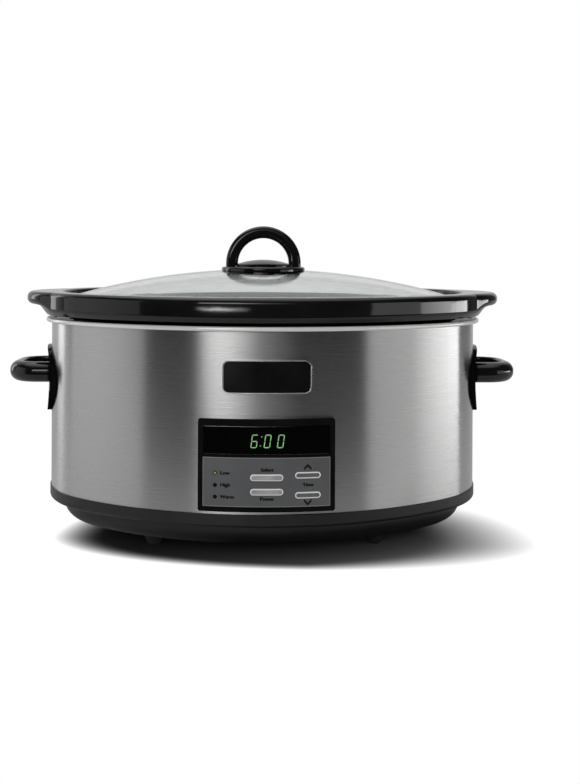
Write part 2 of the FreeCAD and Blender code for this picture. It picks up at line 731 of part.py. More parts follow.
def make_handles():
    # plate: an oval of four tangent arcs, with a face that is hollow from top to bottom
    plate = new_body("handle_plate")
    face = sketch_on(plate, "YZ_Plane", "end_centre")
    middle = "shell_bottom + plate_centre"
    across = "((plate_width / 2 - plate_end) * plate_side / (plate_side - plate_end))"
    rise = "((plate_side - plate_height / 2) * plate_end / (plate_side - plate_end))"
    chain(face, [(across, f"{middle} - {rise}", "plate_end", "left"),
                 (across, f"{middle} + {rise}", "plate_side", "left"),
                 (f"-{across}", f"{middle} + {rise}", "plate_end", "left"),
                 (f"-{across}", f"{middle} - {rise}", "plate_side", "left")])
    pad(plate, face, "end_radius * 2")
    plate_face = new_body("plate_face")
    hollow = sketch_on(plate_face, "XZ_Plane")
    outside = "end_radius + plate_thickness + plate_edge"
    chain(hollow, [(0, "-plate_height"), (outside, "-plate_height", "plate_hollow", "right"),
                   (outside, "plate_height"), (0, "plate_height")])
    turn(plate_face, hollow)
    place(plate_face, "end_centre", 0, middle)
    plate_skin = join("Part::Common", "plate_skin", plate, plate_face)
    tip = "body_length / 2 + grip_reach"
    loop = new_body("handle_loop")
    plan = sketch_on(loop, "XY_Plane", "shell_bottom + grip_low")
    half = "grip_width / 2"
    inner_half = f"({half} - grip_bar)"
    inner_tip = f"{tip} - grip_bar"
    inner_corner = "grip_corner - grip_bar"
    outline(plan, [("end_centre", f"-{half}"), (tip, f"-{half}", "grip_corner"), (tip, half, "grip_corner"),
                   ("end_centre", half), ("end_centre", inner_half), (inner_tip, inner_half, inner_corner),
                   (inner_tip, f"-{inner_half}", inner_corner), ("end_centre", f"-{inner_half}")])
    pad(loop, plan, "grip_height")
    low, high = value("shell_bottom + grip_low"), value("shell_bottom + grip_low + grip_height")
    inside = value(inner_half)

    def is_outer(edge):
        middle = edge.valueAt((edge.FirstParameter + edge.LastParameter) / 2)
        return abs(middle.y) > inside + 1 or middle.x > value(inner_tip) + 1

    def is_end(edge):
        return all(abs(vertex.X - value("end_centre")) < 1e-4 for vertex in edge.Vertexes)

    def is_rim(edge):
        return (level(edge, low) or level(edge, high)) and not is_end(edge)

    round_edges(loop, "grip_round", lambda edge: is_rim(edge) and is_outer(edge))
    round_edges(loop, "grip_inner_round", lambda edge: is_rim(edge) and not is_outer(edge))
    blank = join("Part::Fuse", "handle_blank", plate_skin, loop)
    seat = end_cylinder("handle_seat", "end_radius + fit_gap / 2")
    seated = join("Part::Cut", "handle_seated", blank, seat)
    screw = handle_screw("handle_screw", "handle_screw_radius", "handle_screw_head", "handle_screw_depth")
    bore = handle_screw("handle_bore", "handle_screw_radius + fit_gap / 2", "handle_screw_head",
                        "handle_screw_depth + handle_hole_gap")
    bore_twin = doc.addObject("Part::Mirroring", "handle_bore_twin")
    bore_twin.Source = bore
    bore_twin.Normal = (0, 1, 0)
    drilled = join("Part::Cut", "handle_drilled", seated, bore)
    right = keep(join("Part::Cut", "right_handle", drilled, bore_twin), "right_handle")
    left = doc.addObject("Part::Mirroring", "left_handle")
    left.Source = right
    left.Normal = (1, 0, 0)
    keep(left, "left_handle")
    four_places("handle_screws", screw)


# Front badge plate, left bare.

def front_plate(name, width, low, height, inner, outer, radius=None):
    body = new_body(name)
    sketch = sketch_on(body, "XY_Plane", low)
    front_band(sketch, width, inner, outer)
    pad(body, sketch, height)
    if radius:
        round_edges(body, radius, along_y)
    return body


def make_badge():
    low = "shell_bottom + badge_centre - badge_height / 2"
    frame = front_plate("badge_frame", "badge_width", low, "badge_height", "fit_gap",
                        "fit_gap + badge_thickness", "badge_round")
    window = sketch_on(frame, "XZ_Plane")
    rectangle(window, 0, "shell_bottom + badge_centre", "badge_width - 2 * badge_border",
              "badge_height - 2 * badge_border", "badge_round - badge_border")
    cut(frame, window)
    round_edges(frame, "badge_edge", lambda edge: on_front(edge, "fit_gap + badge_thickness"))
    keep(frame, "badge_frame")
    shy = "(badge_border + fit_gap / 2)"
    face = front_plate("badge_face", f"badge_width - 2 * {shy}", f"{low} + {shy}",
                       f"badge_height - 2 * {shy}", "fit_gap",
                       "fit_gap + badge_thickness - badge_face_drop", f"badge_round - {shy}")
    keep(face, "badge_face")


# Control panel: bezel, fascia, lens, buttons, lamps and the board behind them.

BUTTONS = {
    "select_button": (0, "select_rise", "middle_width", "select_height"),
    "power_button": (0, "power_rise", "middle_width", "power_height"),
    "time_up_button": ("time_x", "time_up_rise", "time_width", "time_height"),
    "time_down_button": ("time_x", "time_down_rise", "time_width", "time_height"),
}
DISHED = ("time_up_button", "time_down_button")
LAMPS = {"led_low": "lamp_low_rise", "led_high": "lamp_high_rise", "led_warm": "lamp_warm_rise"}
PANEL_POSTS = (("low_post_x", "low_post_rise"), ("high_post_x", "high_post_rise"))


def panel_holes(sketch):
    for x, rise, width, height in BUTTONS.values():
        pill(sketch, x, f"shell_bottom + {rise}", f"{width} + 2 * button_gap", f"{height} + 2 * button_gap")
    for rise in LAMPS.values():
        circles(sketch, [("-lamp_x", f"shell_bottom + {rise}", "lamp_radius + fit_gap / 2")])


def post_places(x, rise):
    return [(f"{side} * {x}", f"shell_bottom + {rise}") for side in (-1, 1)]


def make_bezel():
    body = front_plate("bezel", "panel_width", "shell_bottom + panel_low", "panel_height", "fit_gap",
                       "panel_front", "panel_round")
    for width, low, height in (("fascia_width", "fascia_low", "fascia_height"),
                               ("lens_width", "lens_low", "lens_height")):
        recess = sketch_on(body, "XY_Plane", f"shell_bottom + {low}")
        front_band(recess, width, "recess_floor", "panel_front + panel_thickness")
        cut(body, recess, height)
    openings = sketch_on(body, "XZ_Plane")
    panel_holes(openings)
    rectangle(openings, 0, "shell_bottom + lens_low + lens_height / 2", "window_width", "window_height")
    cut(body, openings)
    for x, rise in PANEL_POSTS:
        posts = sketch_on(body, "XZ_Plane", "board_face")
        circles(posts, [(*spot, "panel_post_radius") for spot in post_places(x, rise)])
        pad(body, posts, f"{front_y('(fit_gap + recess_floor) / 2', x)} - board_face")
    bores = sketch_on(body, "XZ_Plane", "board_face")
    for x, rise in PANEL_POSTS:
        circles(bores, [(*spot, "panel_screw_bore") for spot in post_places(x, rise)])
    cut(body, bores, "panel_screw_length - board_sheet + fit_gap")
    side = value("panel_width / 2 - panel_round") - 1e-3
    low = value("shell_bottom + panel_low + panel_round") + 1e-3
    high = value("shell_bottom + panel_low + panel_height - panel_round") - 1e-3

    def is_border(edge):
        return all(abs(vertex.X) > side or not low < vertex.Z < high for vertex in edge.Vertexes)

    round_edges(body, "panel_edge", lambda edge: on_front(edge, "panel_front") and is_border(edge))
    keep(body, "bezel")


def make_fascia():
    shy = "(fit_gap / 2)"
    inner = "recess_floor + fit_gap / 4"
    fascia = front_plate("fascia", f"fascia_width - 2 * {shy}", f"shell_bottom + fascia_low + {shy}",
                         f"fascia_height - 2 * {shy}", inner, "fascia_front")
    holes = sketch_on(fascia, "XZ_Plane")
    panel_holes(holes)
    cut(fascia, holes)
    keep(fascia, "fascia")
    lens = front_plate("display_lens", f"lens_width - 2 * {shy}", f"shell_bottom + lens_low + {shy}",
                       f"lens_height - 2 * {shy}", inner, "fascia_front")
    round_edges(lens, "lens_edge", lambda edge: on_front(edge, "fascia_front"))
    keep(lens, "display_lens")


def make_buttons():
    for name, (x, rise, width, height) in BUTTONS.items():
        centre = f"shell_bottom + {rise}"
        far_side = f"({x} + {width} / 2 - button_flange)"
        seat = f"({front_y('fit_gap', far_side)} - fit_gap - button_travel / 5)"
        body = new_body(name + "_blank")
        flange = sketch_on(body, "XZ_Plane", f"{seat} - button_flange_sheet")
        pill(flange, x, centre, f"{width} - 2 * button_flange", f"{height} + 2 * button_flange")
        pad(body, flange, "button_flange_sheet")
        cap = sketch_on(body, "XZ_Plane", f"{seat} - button_flange_sheet")
        pill(cap, x, centre, width, height)
        pad(body, cap, "board_depth * 2")
        face = sketch_on(body, "XY_Plane", "shell_bottom")
        front_band(face, "panel_width", "fascia_front + button_proud", "fascia_front + board_depth * 2")
        cut(body, face, "panel_height")
        stem = sketch_on(body, "XZ_Plane", "switch_top + button_travel + fit_gap")
        circles(stem, [(x, centre, "button_stem")])
        pad(body, stem, f"{seat} - button_flange_sheet / 2 - (switch_top + button_travel + fit_gap)")
        round_edges(body, "button_edge", lambda edge: on_front(edge, "fascia_front + button_proud"))
        if name in DISHED:
            dish = make_dish(name + "_dish", x, centre, width, height)
            body = join("Part::Cut", name + "_dished", body, dish)
        keep(body, name)


def make_dish(name, x, centre, width, height):
    # the hollow in a button's face, whose floor follows the front
    body = new_body(name)
    sketch = sketch_on(body, "XZ_Plane", "board_face")
    pill(sketch, x, centre, f"{width} - 2 * dish_border", f"{height} - 2 * dish_border")
    pad(body, sketch, "board_depth * 3")
    floor = sketch_on(body, "XY_Plane", "shell_bottom")
    front_band(floor, "panel_width", "-board_depth * 2", "fascia_front + button_proud - dish_depth")
    cut(body, floor, "panel_height")
    return body


def make_lamps():
    for name, rise in LAMPS.items():
        tip = f"{front_y('fascia_front + lamp_proud', 'lamp_x')} + lamp_radius / 2"
        body = new_body(name)
        sketch = sketch_on(body, "XY_Plane")
        flange_front = "-(board_face + lamp_flange_height)"
        outline(sketch, [(0, "-board_face"), (0, f"-({tip})"),
                         ("lamp_radius", f"-({tip})", "lamp_round"), ("lamp_radius", flange_front),
                         ("lamp_flange", flange_front), ("lamp_flange", "-board_face")])
        turn(body, sketch)
        place(body, "-lamp_x", 0, f"shell_bottom + {rise}")
        keep(body, name)


def make_control_board():
    board = new_body("control_board")
    sketch = sketch_on(board, "XZ_Plane", "board_back")
    rectangle(sketch, 0, "shell_bottom + board_low + board_height / 2", "board_width", "board_height")
    for x, rise in PANEL_POSTS:
        circles(sketch, [(*spot, "board_hole") for spot in post_places(x, rise)])
    pad(board, sketch, "board_sheet")
    keep(board, "control_board")
    display = new_body("display_module")
    sketch = sketch_on(display, "XZ_Plane", "board_face")
    rectangle(sketch, 0, "shell_bottom + lens_low + lens_height / 2", "display_width", "display_height")
    pad(display, sketch, "display_depth")
    keep(display, "display_module")
    switches = new_body("tact_switches")
    cases = sketch_on(switches, "XZ_Plane", "board_face")
    tips = sketch_on(switches, "XZ_Plane", "board_face")
    for x, rise, width, height in BUTTONS.values():
        rectangle(cases, x, f"shell_bottom + {rise}", "switch_size", "switch_size")
        circles(tips, [(x, f"shell_bottom + {rise}", "switch_tip_radius")])
    pad(switches, cases, "switch_height")
    pad(switches, tips, "switch_height + switch_tip")
    keep(switches, "tact_switches")
    screws = new_body("control_screws")
    for x, rise in PANEL_POSTS:
        heads = sketch_on(screws, "XZ_Plane", "board_back - panel_screw_cap")
        circles(heads, [(*spot, "panel_screw_head") for spot in post_places(x, rise)])
        pad(screws, heads, "panel_screw_cap")
        shanks = sketch_on(screws, "XZ_Plane", "board_back - panel_screw_cap")
        circles(shanks, [(*spot, "panel_screw_radius") for spot in post_places(x, rise)])
        pad(screws, shanks, "panel_screw_cap + panel_screw_length")
    keep(screws, "control_screws")


# Stoneware crock: the oval pot with its lipped rim and a flared ear at each end.

def make_crock():
    body = oval_ring("crock_pot", [
        ("-floor_band", "crock_bottom"),
        ("crock_outside - crock_draft", "crock_bottom", "crock_edge"),
        ("crock_outside", "rim_bottom", "crock_gap"),
        ("rim_overhang - rim_slope_in", "rim_bottom", "rim_slope_in / 2"),
        ("rim_overhang", "rim_bottom + rim_slope_height", "rim_round"),
        ("rim_overhang", "rim_top", "rim_round"),
        ("lip_inside", "rim_top", "rim_round / 2"),
        ("lip_inside", "ledge_top", "lid_gap"),
        ("crock_inside", "ledge_top", "crock_gap"),
        ("crock_inside - crock_draft", "crock_bottom + crock_floor", "crock_edge - crock_wall / 2"),
        ("-floor_band", "crock_bottom + crock_floor")])
    oval_slab(body, "crock_bottom", "crock_floor", "1 - floor_band")
    ears = doc.addObject("Part::Mirroring", "far_ear")
    ears.Source = make_ear()
    ears.Normal = (1, 0, 0)
    near = join("Part::Fuse", "crock_one_ear", body, ears.Source)
    keep(join("Part::Fuse", "crock_both_ears", near, ears), "crock")


def make_ear():
    # plan: a round tip that two hollow corners blend into the rim's end arc, closed inside the rim's wall
    rim = "(end_radius + rim_overhang)"
    span = "(ear_centre - end_centre)"
    corner_x = f"((({rim} + ear_root)^2 - (ear_radius + ear_root)^2 + {span}^2) / (2 * {span}))"
    corner_y = f"sqrt(({rim} + ear_root)^2 - {corner_x}^2)"
    on_tip = "(ear_radius / (ear_radius + ear_root))"
    tip_x = f"ear_centre + ({corner_x} - {span}) * {on_tip}"
    tip_y = f"{corner_y} * {on_tip}"
    rim_x = f"end_centre + {corner_x} * {rim} / ({rim} + ear_root)"
    rim_y = f"{corner_y} * {rim} / ({rim} + ear_root)"
    inner_x = f"end_centre + {corner_x} * end_radius / ({rim} + ear_root)"
    inner_y = f"{corner_y} * end_radius / ({rim} + ear_root)"
    body = new_body("ear")
    sketch = sketch_on(body, "XY_Plane", "rim_bottom")
    chain(sketch, [
        (tip_x, f"-{tip_y}", "ear_radius", "left"),
        ("ear_tip", 0, "ear_radius", "left"),
        (tip_x, tip_y, "ear_root", "right"),
        (rim_x, rim_y),
        (inner_x, inner_y, "end_radius", "right"),
        (inner_x, f"-{inner_y}"),
        (rim_x, f"-{rim_y}", "ear_root", "right")])
    pad(body, sketch, "rim_height")
    # underside: the slope under the rim runs on outwards and then levels out
    slope = "rim_slope_in / rim_slope_height"
    start = "body_length / 2 + rim_overhang - rim_slope_in - fit_gap"
    under = sketch_on(body, "XZ_Plane")
    outline(under, [
        (f"{start} - fit_gap * {slope}", "rim_bottom - fit_gap"),
        ("ear_tip + ear_round", "rim_bottom - fit_gap"),
        ("ear_tip + ear_round", "ear_bottom"),
        (f"{start} + (ear_bottom - rim_bottom) * {slope}", "ear_bottom", "ear_round")])
    axis = construction_axis(under, ("end_centre", 0), ("end_centre", "shell_height"))
    doc.recompute()
    before = body.Shape.Volume
    turn(body, under, axis, 180, "PartDesign::Groove")
    doc.recompute()
    if not body.Shape.Volume < before:
        raise RuntimeError("the ear's underside took nothing away")
    tip = FreeCAD.Vector(value("ear_centre"), 0, 0)
    corner = FreeCAD.Vector(value(f"end_centre + {corner_x}"), value(corner_y), 0)

    def on_wall(point):
        spot = FreeCAD.Vector(point.x, abs(point.y), 0)
        return (abs((spot - tip).Length - value("ear_radius")) < 1e-3
                or abs((spot - corner).Length - value("ear_root")) < 1e-3)

    def is_outer(edge):
        middle = edge.valueAt((edge.FirstParameter + edge.LastParameter) / 2)
        start, end = edge.Vertexes[0].Point, edge.Vertexes[-1].Point
        upright = math.hypot(start.x - end.x, start.y - end.y) < 1e-3
        return not upright and all(on_wall(point) for point in (start, middle, end))

    round_edges(body, "ear_round", is_outer)
    return body


# Glass lid: a shallow dome curved along both axes, cut to the oval, with a flat seat under its edge.

def dome_sketch(body, top, thickness, half):
    # section along the cooker, between two concentric arcs
    sketch = sketch_on(body, "XZ_Plane")
    centre = "(dome_top - dome_long_radius)"
    outer = f"(dome_long_radius + ({top}))"
    inner = f"({outer} - ({thickness}))"
    high = f"{centre} + sqrt({outer}^2 - ({half})^2)"
    low = f"{centre} + sqrt({inner}^2 - ({half})^2)"
    chain(sketch, [(half, high, outer, "left"), (f"-({half})", high), (f"-({half})", low, inner, "right"),
                   (half, low)])
    axis_height = "dome_top - dome_short_radius"
    axis = construction_axis(sketch, (f"-({half})", axis_height), (half, axis_height))
    return sketch, axis


def make_lid_glass():
    body = new_body("lid_glass")
    sketch, axis = dome_sketch(body, 0, "glass_thickness", "lid_half_length + lid_gap")
    turn(body, sketch, axis, "2 * asin((lid_half_depth + lid_gap) / (dome_short_radius - glass_thickness))")
    trim = sketch_on(body, "XY_Plane")
    rectangle(trim, 0, 0, "body_length + trim_reach", "body_depth + trim_reach")
    oval(trim, "lid_edge")
    cut(body, trim)
    seat = sketch_on(body, "XY_Plane", "lid_seat")
    oval(seat, "lid_edge")
    oval(seat, "lid_edge - lid_bead_width")
    pad(body, seat, "lid_bead_height")
    hole = sketch_on(body, "XY_Plane")
    circles(hole, [(0, 0, "lid_screw_hole")])
    cut(body, hole)
    keep(body, "lid_glass")


def make_lid_handle():
    body = new_body("knob_blank")
    arch = sketch_on(body, "XZ_Plane")
    chain(arch, [
        ("arch_outer", "dome_top"),
        ("arch_outer", "arch_centre", "arch_outer", "left"),
        (0, "arch_centre + arch_outer", "arch_outer", "left"),
        ("-arch_outer", "arch_centre"),
        ("-arch_outer", "dome_top"),
        ("-arch_inner", "dome_top"),
        ("-arch_inner", "arch_centre", "arch_inner", "right"),
        (0, "arch_centre + arch_inner", "arch_inner", "right"),
        ("arch_inner", "arch_centre"),
        ("arch_inner", "dome_top")])
    pad(body, arch, "arch_depth", both_ways=True)
    half = value("arch_depth / 2")
    floor = value("dome_top")

    def on_side(edge):
        return all(abs(abs(vertex.Y) - half) < 1e-4 for vertex in edge.Vertexes)

    round_edges(body, "arch_round",
                lambda edge: on_side(edge) and not level(edge, floor) and edge.Length > half)
    disc = sketch_on(body, "XZ_Plane")
    knob_low = "dome_top - glass_thickness"
    outline(disc, [
        (0, knob_low),
        ("knob_radius", knob_low),
        ("knob_radius", "dome_top + knob_edge / 3", "knob_edge / 3"),
        (0, "dome_top + knob_edge / 2")])
    turn(body, disc)
    button = sketch_on(body, "XZ_Plane")
    edge = "(arch_inner + arch_bar / 2)"
    swell = "(knob_pad - knob_edge / 2)"
    chain(button, [
        (0, "dome_top"),
        (edge, "dome_top"),
        (edge, "dome_top + knob_edge / 2", f"({edge}^2 + {swell}^2) / (2 * {swell})", "left"),
        (0, "dome_top + knob_pad")])
    turn(body, button)
    recess = sketch_on(body, "XY_Plane")
    circles(recess, [(0, 0, "gasket_radius + fit_gap")])
    cut(body, recess, "knob_bottom")
    bore = sketch_on(body, "XY_Plane")
    circles(bore, [(0, 0, "lid_screw_radius + fit_gap / 2")])
    cut(body, bore, "knob_bottom + lid_screw_reach + fit_gap")
    dome = new_body("dome_shape")
    sketch, axis = dome_sketch(dome, "fit_gap", "2 * dome_rise", "2 * knob_radius")
    turn(dome, sketch, axis, "4 * asin(knob_radius / dome_short_radius)")
    keep(join("Part::Cut", "knob", body, dome), "lid_handle")
    gasket_low = "dome_top + fit_gap / 2"
    gasket = turned("lid_gasket", [("lid_screw_hole", gasket_low), ("gasket_radius", gasket_low),
                                   ("gasket_radius", f"{gasket_low} + gasket_thickness"),
                                   ("lid_screw_hole", f"{gasket_low} + gasket_thickness")])
    keep(gasket, "lid_gasket")
    washer = turned("lid_washer", [("lid_screw_radius + fit_gap", "washer_top - washer_thickness"),
                                   ("washer_radius", "washer_top - washer_thickness"),
                                   ("washer_radius", "washer_top"),
                                   ("lid_screw_radius + fit_gap", "washer_top")])
    keep(washer, "lid_washer")
    head_top = "washer_top - washer_thickness"
    screw = turned("lid_screw", [(0, f"{head_top} - lid_screw_cap"),
                                 ("lid_screw_head - lid_screw_cap / 2", f"{head_top} - lid_screw_cap"),
                                 ("lid_screw_head", f"{head_top} - lid_screw_cap / 2"),
                                 ("lid_screw_head", head_top), ("lid_screw_radius", head_top),
                                 ("lid_screw_radius", "knob_bottom + lid_screw_reach"),
                                 (0, "knob_bottom + lid_screw_reach")])
    keep(screw, "lid_screw")


def check_and_write():
    doc.recompute()
    failed = [item.Label for item in doc.Objects if {"Invalid", "Error"} & set(item.State)]
    for piece in pieces:
        if piece.Shape.isNull() or not piece.Shape.isValid() or not piece.Shape.Solids:
            failed.append(piece.Label)
    if failed:
        raise RuntimeError("not built: " + ", ".join(failed))
    os.makedirs("parts", exist_ok=True)
    for piece in pieces:
        piece.Shape.exportStep(f"parts/{piece.Label}.step")


fill_sheet()
make_outer_shell()
make_base_housing()
make_feet()
make_liner_pan()
make_heater_band()
make_liner_posts()
make_gland()
make_power_board()
make_sensors()
make_handles()
make_badge()
make_bezel()
make_fascia()
make_buttons()
make_lamps()
make_control_board()
make_crock()
make_lid_glass()
make_lid_handle()
check_and_write()
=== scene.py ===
import math
import bpy
from mathutils import Matrix, Vector


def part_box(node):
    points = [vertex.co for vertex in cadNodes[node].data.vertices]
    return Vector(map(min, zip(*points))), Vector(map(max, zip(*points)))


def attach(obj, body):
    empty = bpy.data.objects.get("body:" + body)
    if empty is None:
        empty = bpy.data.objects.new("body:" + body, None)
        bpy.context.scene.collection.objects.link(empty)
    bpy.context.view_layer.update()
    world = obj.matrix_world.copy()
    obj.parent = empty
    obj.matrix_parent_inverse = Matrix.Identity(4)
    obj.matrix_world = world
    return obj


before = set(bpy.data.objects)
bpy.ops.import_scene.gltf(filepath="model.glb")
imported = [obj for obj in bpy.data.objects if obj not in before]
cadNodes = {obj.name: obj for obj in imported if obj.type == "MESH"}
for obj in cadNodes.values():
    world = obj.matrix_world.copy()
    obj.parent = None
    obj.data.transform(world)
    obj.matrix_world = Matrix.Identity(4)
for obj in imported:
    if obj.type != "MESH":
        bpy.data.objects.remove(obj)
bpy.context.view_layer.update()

mm = 0.001


# small helpers for shader nodes

noiseSpan = (0.3, 0.7)  # most of a noise's values lie between these


def grey(level):
    return (level, level, level)


def newFinish(name):
    finish = bpy.data.materials.new(name)
    finish.use_nodes = True
    return finish, finish.node_tree, finish.node_tree.nodes["Principled BSDF"]


def setSockets(shader, **sockets):
    for name, setting in sockets.items():
        shader.inputs[name.replace("_", " ")].default_value = setting


def objectPlace(tree):
    return tree.nodes.new("ShaderNodeTexCoord").outputs["Object"]


def placeAlong(tree, axis):
    split = tree.nodes.new("ShaderNodeSeparateXYZ")
    tree.links.new(objectPlace(tree), split.inputs["Vector"])
    return split.outputs[axis]


def objectNoise(tree, stretch, detail, grit=0.55):
    # stretch is one number, or one for each axis
    mapping = tree.nodes.new("ShaderNodeMapping")
    mapping.inputs["Scale"].default_value = stretch if isinstance(stretch, tuple) else (stretch,) * 3
    noise = tree.nodes.new("ShaderNodeTexNoise")
    noise.inputs["Scale"].default_value = 1.0
    noise.inputs["Detail"].default_value = detail
    noise.inputs["Roughness"].default_value = grit
    tree.links.new(objectPlace(tree), mapping.inputs["Vector"])
    tree.links.new(mapping.outputs["Vector"], noise.inputs["Vector"])
    return noise.outputs["Fac"]


def mapped(tree, source, fromSpan, toSpan, smooth=False):
    ranged = tree.nodes.new("ShaderNodeMapRange")
    ranged.interpolation_type = "SMOOTHSTEP" if smooth else "LINEAR"
    for name, setting in zip(("From Min", "From Max", "To Min", "To Max"), (*fromSpan, *toSpan)):
        ranged.inputs[name].default_value = setting
    tree.links.new(source, ranged.inputs["Value"])
    return ranged.outputs["Result"]


def varied(tree, noise, span):
    return mapped(tree, noise, noiseSpan, span)


def tinted(tree, source, dark, light, span=noiseSpan):
    ramp = tree.nodes.new("ShaderNodeValToRGB")
    for stop, position, colour in zip(ramp.color_ramp.elements, span, (dark, light)):
        stop.position = position
        stop.color = (*colour, 1)
    tree.links.new(source, ramp.inputs["Fac"])
    return ramp.outputs["Color"]


def mottled(tree, noise, colour, share):
    # a colour that falls to a share of itself in places
    return tinted(tree, noise, tuple(share * part for part in colour), colour)


def blended(tree, factor, first, second):
    mix = tree.nodes.new("ShaderNodeMix")
    mix.data_type = "RGBA"
    for name, source in (("Factor", factor), ("A", first), ("B", second)):
        tree.links.new(source, mix.inputs[name])
    return mix.outputs["Result"]


def setOrLink(tree, socket, term):
    if isinstance(term, (int, float)):
        socket.default_value = term
    else:
        tree.links.new(term, socket)


def computed(tree, operation, *terms):
    step = tree.nodes.new("ShaderNodeMath")
    step.operation = operation
    for socket, term in zip(step.inputs, terms):
        setOrLink(tree, socket, term)
    return step.outputs["Value"]


def vectorStep(tree, operation, first, second=None):
    step = tree.nodes.new("ShaderNodeVectorMath")
    step.operation = operation
    tree.links.new(first, step.inputs[0])
    if isinstance(second, tuple):
        step.inputs[1].default_value = second
    elif second is not None:
        tree.links.new(second, step.inputs[1])
    return step.outputs


def hypotenuse(tree, across, along):
    squares = [computed(tree, "MULTIPLY", side, side) for side in (across, along)]
    return computed(tree, "SQRT", computed(tree, "ADD", *squares))


def measuredFrom(tree, middle, reach, turn=0.0):
    # a point's place from a middle, in units of the reach along each axis
    mapping = tree.nodes.new("ShaderNodeMapping")
    mapping.vector_type = "TEXTURE"
    mapping.inputs["Location"].default_value = middle
    mapping.inputs["Rotation"].default_value = (0, 0, math.radians(turn))
    mapping.inputs["Scale"].default_value = reach
    tree.links.new(objectPlace(tree), mapping.inputs["Vector"])
    return mapping.outputs["Vector"]


def coated(tree, shader, noise, colour, roughness):
    tree.links.new(colour, shader.inputs["Base Color"])
    tree.links.new(varied(tree, noise, roughness), shader.inputs["Roughness"])


def bumped(tree, shader, source, strength, depth):
    bump = tree.nodes.new("ShaderNodeBump")
    bump.inputs["Strength"].default_value = strength
    bump.inputs["Distance"].default_value = depth
    tree.links.new(source, bump.inputs["Height"])
    tree.links.new(bump.outputs["Normal"], shader.inputs["Normal"])


def offMiddle(tree, axis, middle):
    return computed(tree, "ABSOLUTE", computed(tree, "SUBTRACT", placeAlong(tree, axis), middle))


def edgeDepth(tree, node):
    # how far a point lies inside a panel piece's outline
    low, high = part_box(node)
    middle = (low + high) / 2
    half = (high - low) / 2
    fromSide = computed(tree, "SUBTRACT", half.x, offMiddle(tree, "X", middle.x))
    fromTop = computed(tree, "SUBTRACT", half.z, offMiddle(tree, "Z", middle.z))
    return computed(tree, "MINIMUM", fromSide, fromTop)


def pillDepth(tree, node, half):
    # the same inside a button's outline, whose ends are half circles
    low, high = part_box(node)
    middle = (low + high) / 2
    straight = high.x - middle.x - half
    beyond = computed(tree, "SUBTRACT", offMiddle(tree, "X", middle.x), straight)
    onEnd = computed(tree, "MAXIMUM", beyond, 0)
    return computed(tree, "SUBTRACT", half, hypotenuse(tree, onEnd, offMiddle(tree, "Z", middle.z)))


# finishes

brushed = {"dark": (0.592, 0.593, 0.589), "light": (0.622, 0.623, 0.619), "roughness": (0.27, 0.285),
           "fine": (24, 24, 2800), "streaks": (16, 16, 2000), "bump": 0.012, "depth": 0.02 * mm,
           "drawn": 0.945, "turn": 0.25}


def brushedSteel():
    finish, tree, shader = newFinish("brushed_steel")
    lines = objectNoise(tree, brushed["fine"], detail=2)
    streaks = objectNoise(tree, brushed["streaks"], detail=1)
    grain = computed(tree, "MULTIPLY", computed(tree, "ADD", lines, streaks), 0.5)  # their mean
    colour = tinted(tree, grain, brushed["dark"], brushed["light"])
    coated(tree, shader, grain, colour, brushed["roughness"])
    bumped(tree, shader, lines, brushed["bump"], brushed["depth"])
    # the brushing runs round the wrap, so reflections are drawn out up and down
    setSockets(shader, Metallic=1.0, Anisotropic=brushed["drawn"], Anisotropic_Rotation=brushed["turn"])
    return finish


liner = {"dark": (0.5, 0.5, 0.49), "light": (0.68, 0.68, 0.66), "roughness": (0.34, 0.5), "cloud": 60,
         "spangle": 240, "spangleSpan": (0.0, 0.9), "flakeSpan": (0.35, 0.65), "flakes": (0.3, 0.6),
         "bump": 0.08, "depth": 0.2 * mm}
# the lip's pale outside colour is pale steel lightened into a painted highlight, its near-black inside
# colour a painted shade
lip = {"paintedHighlight": (0.86, 0.86, 0.85), "inside": grey(0.02), "metal": 0.25, "polish": 0.42,
       "height": (0.172, 0.174), "outward": (-0.1, 0.3)}


def facingOut(tree):
    # how far a surface faces away from the cooker's middle
    level = vectorStep(tree, "MULTIPLY", objectPlace(tree), (1, 1, 0))["Vector"]
    away = vectorStep(tree, "NORMALIZE", level)["Vector"]
    surface = tree.nodes.new("ShaderNodeNewGeometry").outputs["Normal"]
    return vectorStep(tree, "DOT_PRODUCT", away, surface)["Value"]


def linerMetal():
    finish, tree, shader = newFinish("liner_metal")
    spangle = tree.nodes.new("ShaderNodeTexVoronoi")
    spangle.inputs["Scale"].default_value = liner["spangle"]
    tree.links.new(objectPlace(tree), spangle.inputs["Vector"])
    cloud = objectNoise(tree, liner["cloud"], detail=5)
    sheet = tinted(tree, cloud, liner["dark"], liner["light"])
    flake = tinted(tree, spangle.outputs["Distance"], liner["light"], liner["dark"], liner["spangleSpan"])
    flaked = blended(tree, mapped(tree, cloud, liner["flakeSpan"], liner["flakes"]), sheet, flake)
    # the rolled lip is pale steel outside, lightened and satin as a painted highlight so it shows as an
    # even line, and painted near black inside as painted shade
    outward = mapped(tree, facingOut(tree), lip["outward"], (0, 1), True)
    paintedHighlight = mottled(tree, cloud, lip["paintedHighlight"], share=0.93)
    paintedInnerShade = mottled(tree, cloud, lip["inside"], share=0.8)
    upper = mapped(tree, placeAlong(tree, "Z"), lip["height"], (0, 1))
    colour = blended(tree, upper, flaked, blended(tree, outward, paintedInnerShade, paintedHighlight))
    tree.links.new(colour, shader.inputs["Base Color"])
    polish = mapped(tree, upper, (0, 1), (1, lip["polish"]))
    worn = computed(tree, "MULTIPLY", varied(tree, cloud, liner["roughness"]), polish)
    tree.links.new(worn, shader.inputs["Roughness"])
    tree.links.new(mapped(tree, upper, (0, 1), (1, lip["metal"])), shader.inputs["Metallic"])
    bumped(tree, shader, cloud, liner["bump"], liner["depth"])
    return finish


